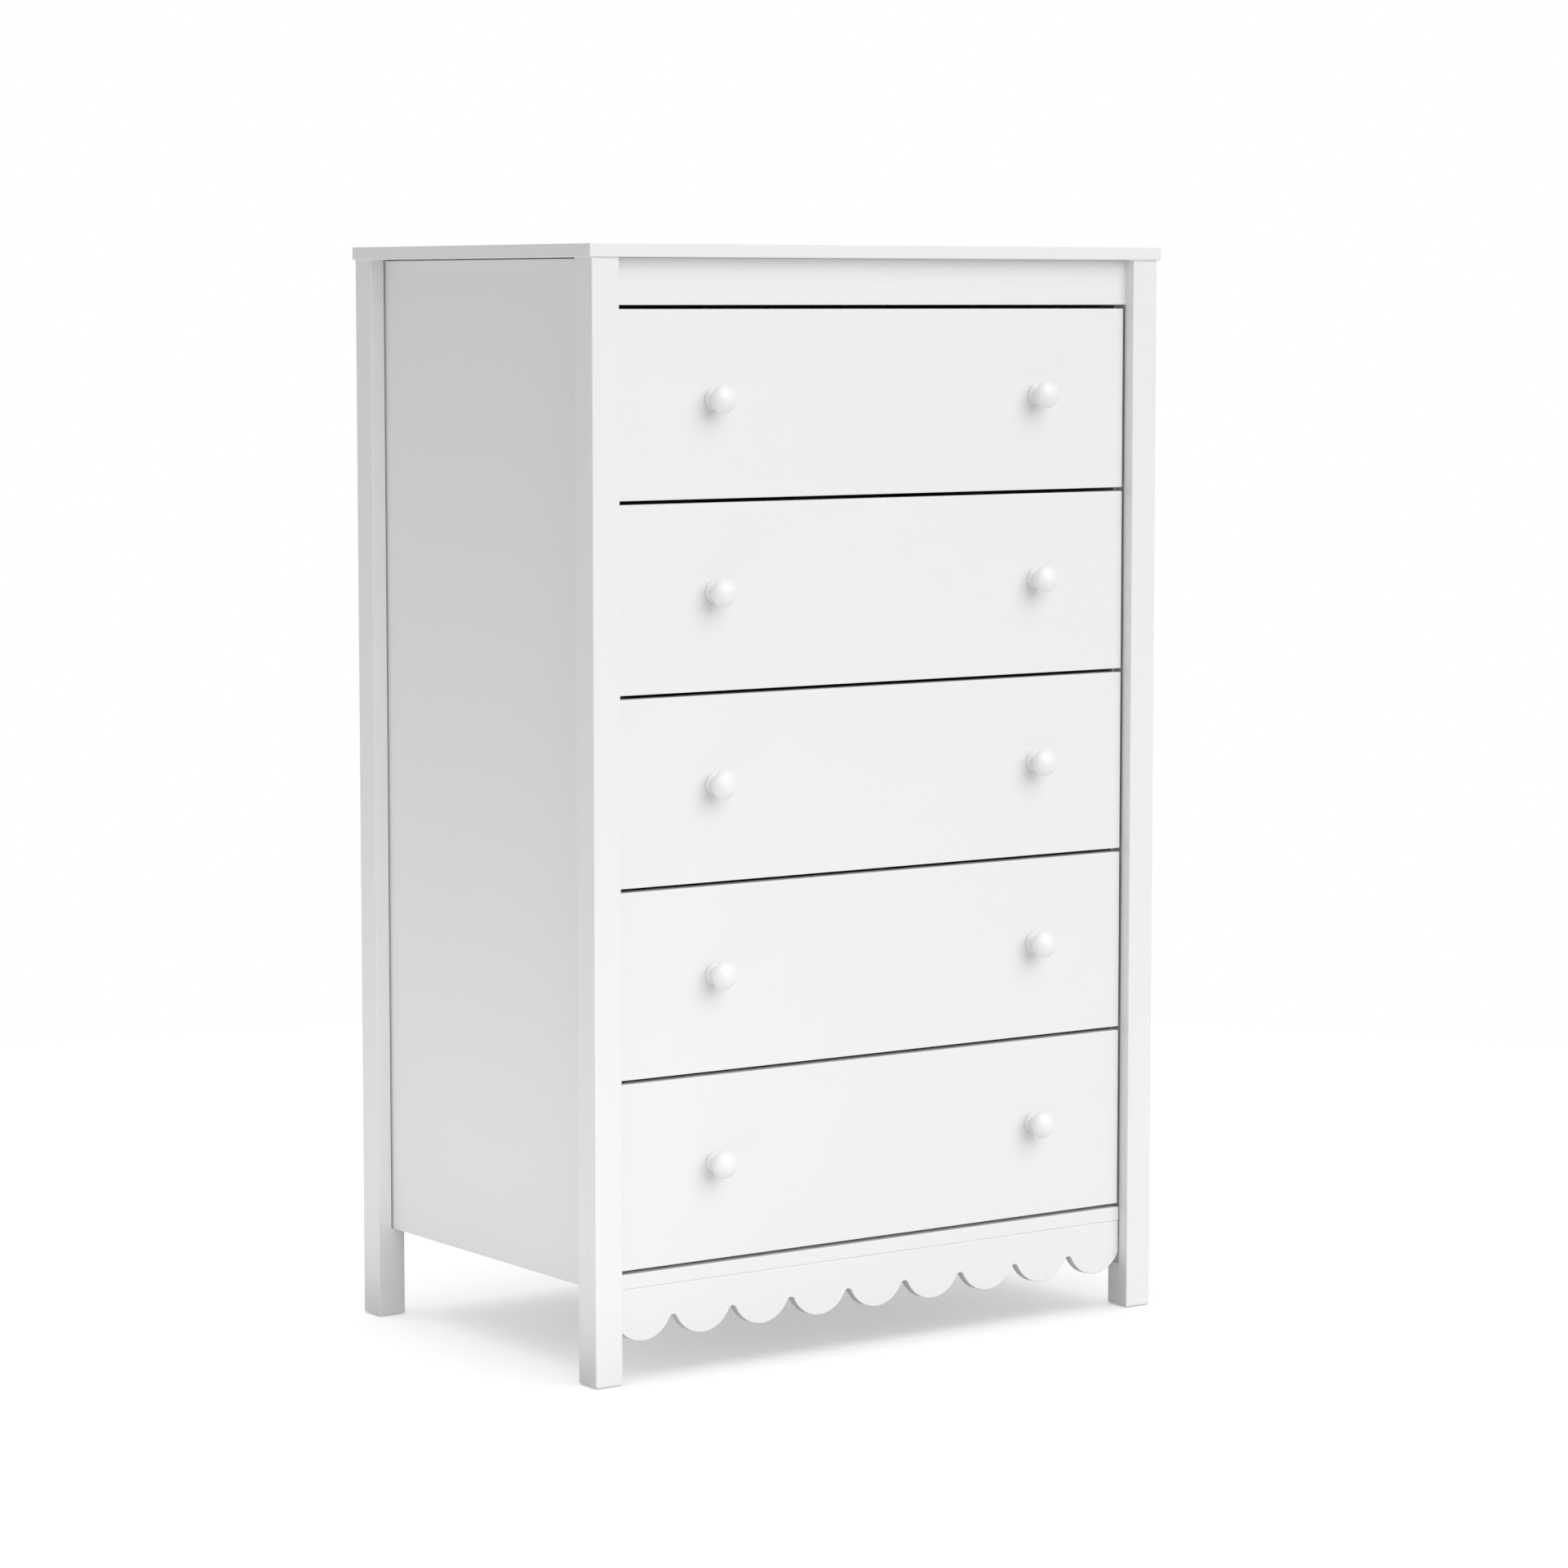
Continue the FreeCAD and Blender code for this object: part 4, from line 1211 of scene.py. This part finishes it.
CASE_MEMBER = SlideMember(
    near=0.0,
    far=8.5 * MM,
    half_height=22.5 * MM,
    web_at_case=True,
    slots=SlotRow(first=67.0 * MM, pitch=66.0 * MM, width=5.0 * MM, length=24.0 * MM),
)
MIDDLE_MEMBER = SlideMember(
    near=3.0 * MM,
    far=10.0 * MM,
    half_height=20.0 * MM,
    web_at_case=True,
    slots=SlotRow(first=50.0 * MM, pitch=75.0 * MM, width=8.0 * MM, length=42.0 * MM),
)
DRAWER_MEMBER = SlideMember(
    near=6.0 * MM,
    far=12.7 * MM,
    half_height=17.3 * MM,
    web_at_case=False,
    slots=SlotRow(first=84.0 * MM, pitch=58.0 * MM, width=4.2 * MM, length=12.0 * MM),
)


# ---------------------------------------------------------------- sub-assemblies
@dataclass
class Apron:
    """Scalloped board between the front legs."""

    pitch: float = 77.8 * MM
    lobes: int = 9
    lobe_radius: float = 38.0 * MM
    notch_radius: float = 5.2 * MM
    lobe_steps: int = 28
    notch_steps: int = 12
    eased_edge: float = 1.2 * MM
    eased_steps: int = 3
    eased_above: float = 60.0
    node: str = "apron"

    def build(self, trees: SharedTrees, paint: bpy.types.Material) -> bpy.types.Object:
        """Grow the board from its rule and ease its edges."""
        low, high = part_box(self.node)
        half_pitch = self.pitch / 2
        span = self.lobe_radius + self.notch_radius
        lobe_centre = low.z + self.lobe_radius
        notch_centre = lobe_centre - math.sqrt(span**2 - half_pitch**2)
        values = {
            "Half Length": (high.x - low.x) / 2,
            "Top": high.z,
            "Front": low.y,
            "Thickness": high.y - low.y,
            "Pitch": self.pitch,
            "Lobe Centre": lobe_centre,
            "Lobe Radius": self.lobe_radius,
            "Lobe Touch": half_pitch * self.lobe_radius / span,
            "Notch Centre": notch_centre,
            "Notch Radius": self.notch_radius,
            "Lobes": self.lobes,
            "Lobe Steps": self.lobe_steps,
            "Notch Steps": self.notch_steps,
            "Finish": paint,
        }
        board = run_tree("apron_board", trees.scallops, bpy.data.meshes.new("apron_start"), values)
        work = bmesh.new()
        work.from_mesh(board.data)
        bmesh.ops.recalc_face_normals(work, faces=work.faces)
        work.to_mesh(board.data)
        work.free()
        board.data.shade_smooth()
        bevel = board.modifiers.new("eased edges", "BEVEL")
        bevel.width = self.eased_edge
        bevel.segments = self.eased_steps
        bevel.limit_method = "ANGLE"
        bevel.angle_limit = math.radians(self.eased_above)
        bevel.harden_normals = True
        settle(board, "case", [self.node])
        return board


@dataclass
class Case:
    """Legs, panels, rails and boards of the case, with what is screwed to them."""

    painted: tuple[str, ...] = (
        "top_panel",
        "front_leg_left",
        "front_leg_right",
        "rear_leg_left",
        "rear_leg_right",
        "side_panel_left",
        "side_panel_right",
        "top_rail",
        "rear_rail",
        "bottom_board",
    )

    def dress(self, materials: Materials) -> None:
        """Give every CAD board and fitting of the case its finish."""
        for node in self.painted:
            dress(node, materials.paint)
        dress("back_panel", materials.rear)
        dress("floor_glides", materials.glide)
        dress("case_dowels", materials.dowel)
        dress("case_cam_fittings", materials.steel)


@dataclass
class Runners:
    """Telescopic slides of all the drawers and the screws that hold them."""

    trees: SharedTrees
    materials: Materials
    screw_rows: tuple[float, ...] = (35.0 * MM, 200.0 * MM, 365.0 * MM)
    inner_face: float = field(init=False)
    start: float = field(init=False)
    length: float = field(init=False)

    def __post_init__(self) -> None:
        """Read the slides' place from the frame."""
        low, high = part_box("slide_case_members_right")
        self.inner_face, self.start, self.length = high.x, low.y, high.y - low.y

    def height(self, number: int) -> float:
        """Height of the middle of one drawer's slides."""
        low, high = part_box(f"drawer_{number}_slide_members")
        return (low.z + high.z) / 2

    def right_hand(self, heights: Sequence[float]) -> list[Place]:
        """A place against the right side panel at each height."""
        return [Place((self.inner_face, 0.0, z), Facing.AS_MADE) for z in heights]

    def left_hand(self, heights: Sequence[float]) -> list[Place]:
        """A place against the left side panel at each height, turned over."""
        return [Place((-self.inner_face, 0.0, z), Facing.OTHER_HAND) for z in heights]

    def build_members(self, name: str, kind: SlideMember, places: Sequence[Place]) -> bpy.types.Object:
        """Roll one kind of member and set it on its places."""
        steel = self.materials.steel
        member = kind.mesh(self.trees, steel, self.start, self.length)
        return PartSetter(self.trees).build(name, member, places, steel)

    def build_case_members(self) -> None:
        """The members on both side panels, with their screws."""
        heights = [self.height(number) for number in DRAWERS]
        for side, places in (("right", self.right_hand(heights)), ("left", self.left_hand(heights))):
            members = self.build_members(f"case_slides_{side}", CASE_MEMBER, places)
            settle(members, "case", [f"slide_case_members_{side}"])
        spots = [(self.start + row, z) for z in heights for row in self.screw_rows]
        screws = on_both_sides(self.inner_face - CASE_MEMBER.sheet, spots, INWARD)
        spinner = PartSetter(self.trees, QUARTER_TURN, RUNNER_SEED)
        made = spinner.build("case_runner_screws", RUNNER_SCREW.mesh(), screws, self.materials.steel)
        settle(made, "case", ["case_slide_screws"])

    def build_travelling(self, number: int) -> None:
        """The middle and drawer members of one drawer."""
        heights = [self.height(number)]
        places = self.right_hand(heights) + self.left_hand(heights)
        middles = self.build_members(f"drawer_{number}_middle_runners", MIDDLE_MEMBER, places)
        settle(middles, f"slide_middles_{number}", [f"drawer_{number}_slide_middles"])
        inner = self.build_members(f"drawer_{number}_inner_runners", DRAWER_MEMBER, places)
        settle(inner, f"drawer_{number}", [f"drawer_{number}_slide_members"])


@dataclass
class Drawer:
    """One drawer: its front, box, knobs and fixings."""

    number: int
    runners: Runners
    materials: Materials
    trees: SharedTrees
    box_rows: tuple[float, ...] = (35.0 * MM, 115.0 * MM)

    def name(self, part: str) -> str:
        """Name of one CAD node or new piece of this drawer."""
        return f"drawer_{self.number}_{part}"

    def dress(self) -> None:
        """Give the CAD boards of the drawer their finishes."""
        dress(self.name("front"), self.materials.paint)
        dress(self.name("sides"), self.materials.side_wood)
        dress(self.name("back"), self.materials.back_wood)
        dress(self.name("bottom"), self.materials.tray)

    def knob_places(self) -> list[Point]:
        """X and Z of both knob axes."""
        low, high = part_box(self.name("knobs"))
        radius = (high.z - low.z) / 2
        return [(low.x + radius, (low.z + high.z) / 2), (high.x - radius, (low.z + high.z) / 2)]

    def build_knobs(self) -> None:
        """Turn both knobs and set them on the front."""
        low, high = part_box(self.name("knobs"))
        turning = KnobTurning(high.y - low.y, (high.z - low.z) / 2)
        places = [Place((x, high.y, z), Facing.FRONT) for x, z in self.knob_places()]
        gloss = self.materials.gloss
        made = PartSetter(self.trees).build(self.name("turned_knobs"), turning.mesh(), places, gloss)
        settle(made, f"drawer_{self.number}", [self.name("knobs")])

    def build_screws(
        self, part: str, kind: CrossScrew, places: Sequence[Place], nodes: Sequence[str] = ()
    ) -> None:
        """Set one kind of screw on its places, each turned at random.

        Args:
            part: what the new piece is called after the drawer's name.
            kind: the screw.
            places: where the screws go and how they face.
            nodes: the CAD nodes that the screws stand for, if any.
        """
        spinner = PartSetter(self.trees, QUARTER_TURN, DRAWER_SEED + self.number)
        made = spinner.build(self.name(part), kind.mesh(), places, self.materials.steel)
        settle(made, f"drawer_{self.number}", nodes)

    def build_fixings(self) -> None:
        """Screws of the knobs, the slides and the box."""
        low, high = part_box(self.name("sides"))
        places = [Place((x, low.y, z), Facing.BACK) for x, z in self.knob_places()]
        self.build_screws("knob_screws", KNOB_SCREW, places, [self.name("fixings")])
        height = self.runners.height(self.number)
        spots = [(self.runners.start + row, height) for row in self.runners.screw_rows]
        places = on_both_sides(high.x + DRAWER_MEMBER.sheet, spots, OUTWARD)
        self.build_screws("runner_screws", RUNNER_SCREW, places)
        back_low, back_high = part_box(self.name("back"))
        middle = (back_low.y + back_high.y) / 2
        spots = [(middle, low.z + row) for row in self.box_rows]
        self.build_screws("box_screws", BOX_SCREW, on_both_sides(high.x, spots, OUTWARD))


@dataclass
class Stage:
    """Pale floor, soft lights and the camera."""

    floor_radius: float = 2.3
    floor_segments: int = 128
    floor_glow: float = 0.37
    floor_light: float = 1.35
    floor_softness: float = 80.0
    ambient: float = 0.525
    sun_strength: float = 1.68
    sun_turn: float = 12.0
    sun_height: float = 32.0
    sun_softness: float = 60.0
    sun_distance: float = 4.0
    side_glow: float = 6.0
    side_reach: float = 2.0
    side_width: float = 1.4
    side_edge: tuple[float, float, float] = (-0.46, -0.05, 0.01)
    spark_strength: float = 4.5
    spark_size: float = 2.0
    spark_way: tuple[float, float, float] = (-0.9, -0.3, 1.9)
    spark_distance: float = 3.5
    eye: tuple[float, float, float] = (-3.1293, -4.4648, 1.1537)
    turn: float = -35.288
    tilt: float = -5.721
    lens: float = 110.578

    def build_floor(self) -> bpy.types.Object:
        """A round pale floor under the chest."""
        work = bmesh.new()
        bmesh.ops.create_circle(work, cap_ends=True, segments=self.floor_segments, radius=self.floor_radius)
        mesh = bpy.data.meshes.new("floor")
        work.to_mesh(mesh)
        work.free()
        floor = link("floor", mesh)
        material, build, shader = start_material("pale_floor")
        place = build.node("ShaderNodeTexCoord").outputs["Object"]
        cloud = build.noise(place, 1.5, 3.0)
        seen = build.node("ShaderNodeLightPath").outputs["Is Camera Ray"]
        inputs = {
            "Base Color": build.blend(cloud, grey(0.80), grey(0.82)),
            "Roughness": 0.9,
            "Specular IOR Level": 0.1,
            "Emission Color": grey(1.0),
            "Emission Strength": build.times(seen, self.floor_glow),
        }
        build.feed(shader, inputs)
        mesh.materials.append(material)
        return floor

    def build_world(self) -> None:
        """White surroundings that light the chest from all round."""
        world = bpy.data.worlds.new("studio")
        bpy.context.scene.world = world
        world.use_nodes = True
        world.node_tree.nodes.clear()
        build = TreeBuilder(world.node_tree)
        seen = build.node("ShaderNodeBackground", {"Color": grey(1.0), "Strength": 1.0})
        fill = build.node("ShaderNodeBackground", {"Color": grey(1.0), "Strength": self.ambient})
        ray = build.node("ShaderNodeLightPath").outputs["Is Camera Ray"]
        both = build.node("ShaderNodeMixShader", {0: ray, 1: fill.outputs[0], 2: seen.outputs[0]})
        build.node("ShaderNodeOutputWorld", {"Surface": both.outputs[0]})

    def build_lights(self, floor: bpy.types.Object) -> None:
        """A soft key on the chest, one light for the floor, a spark and a low glow at the left."""
        turn, height = math.radians(self.sun_turn), math.radians(self.sun_height)
        level = math.cos(height)
        out = Vector((math.sin(turn) * level, -math.cos(turn) * level, math.sin(height)))
        key = self._sun("key", self.sun_strength, self.sun_softness, out)
        self._only(key, floor, False)
        above = self._sun("floor_light", self.floor_light, self.floor_softness, Vector((0.0, 0.0, 1.0)))
        self._only(above, floor, True)
        self._add_spark()
        self._add_side_glow(floor)

    def _add_spark(self) -> None:
        """A disc of light above and to the left, which only the paint's shine catches."""
        spark = bpy.data.lights.new("spark", "AREA")
        spark.shape = "DISK"
        spark.size = self.spark_size
        spark.energy = self.spark_strength
        out = Vector(self.spark_way).normalized()
        made = self._aim("spark", spark, out * self.spark_distance, out)
        made.visible_diffuse = False

    def _add_side_glow(self, floor: bpy.types.Object) -> None:
        """A sheet of light low beside the left panel, shining up like a bright floor."""
        glow = bpy.data.lights.new("side_glow", "AREA")
        glow.shape = "RECTANGLE"
        glow.size = self.side_reach
        glow.size_y = self.side_width
        glow.energy = self.side_glow
        place = Vector(self.side_edge) - Vector((self.side_reach / 2, 0.0, 0.0))
        made = self._aim("side_glow", glow, place, Vector((0.0, 0.0, -1.0)))
        made.visible_camera = False
        made.visible_glossy = False
        self._only(made, floor, False)

    def _sun(self, name: str, strength: float, softness: float, out: Vector) -> bpy.types.Object:
        """A distant light of a strength and an apparent width in degrees."""
        light = bpy.data.lights.new(name, "SUN")
        light.energy = strength
        light.angle = math.radians(softness)
        return self._aim(name, light, out * self.sun_distance, out)

    @staticmethod
    def _only(light: bpy.types.Object, floor: bpy.types.Object, on_floor: bool) -> None:
        """Let a light reach only the floor, or everything but the floor."""
        reached = bpy.data.collections.new(light.name + "_reach")
        reached.objects.link(floor)
        if not on_floor:
            reached.collection_objects[0].light_linking.link_state = "EXCLUDE"
        light.light_linking.receiver_collection = reached

    @staticmethod
    def _aim(name: str, light: bpy.types.Light, place: Vector, out: Vector) -> bpy.types.Object:
        """Set a light at a place, shining back along its way out."""
        made = bpy.data.objects.new(name, light)
        made.location = place
        made.rotation_euler = out.to_track_quat("Z", "Y").to_euler()
        bpy.context.scene.collection.objects.link(made)
        return made

    def build_camera(self) -> None:
        """The camera in front of the chest, to its left."""
        lens = bpy.data.cameras.new("camera")
        lens.lens = self.lens
        lens.sensor_width = 36.0
        camera = bpy.data.objects.new("camera", lens)
        camera.location = self.eye
        camera.rotation_euler = Euler((math.radians(90 + self.tilt), 0.0, math.radians(self.turn)))
        bpy.context.scene.collection.objects.link(camera)
        bpy.context.scene.camera = camera
        bpy.context.scene.view_settings.view_transform = "Standard"

    def build(self) -> None:
        """Build the whole stage."""
        floor = self.build_floor()
        self.build_world()
        self.build_lights(floor)
        self.build_camera()


def main() -> None:
    """Build the chest's looks in order."""
    logging.basicConfig(level=logging.INFO, format="%(name)s: %(message)s", stream=sys.stdout)
    materials = Materials(SharedEffects())
    trees = SharedTrees()
    Case().dress(materials)
    Apron().build(trees, materials.paint)
    runners = Runners(trees, materials)
    runners.build_case_members()
    for number in DRAWERS:
        drawer = Drawer(number, runners, materials, trees)
        drawer.dress()
        drawer.build_knobs()
        drawer.build_fixings()
        runners.build_travelling(number)
    Stage().build()


if __name__ == "__main__":
    main()
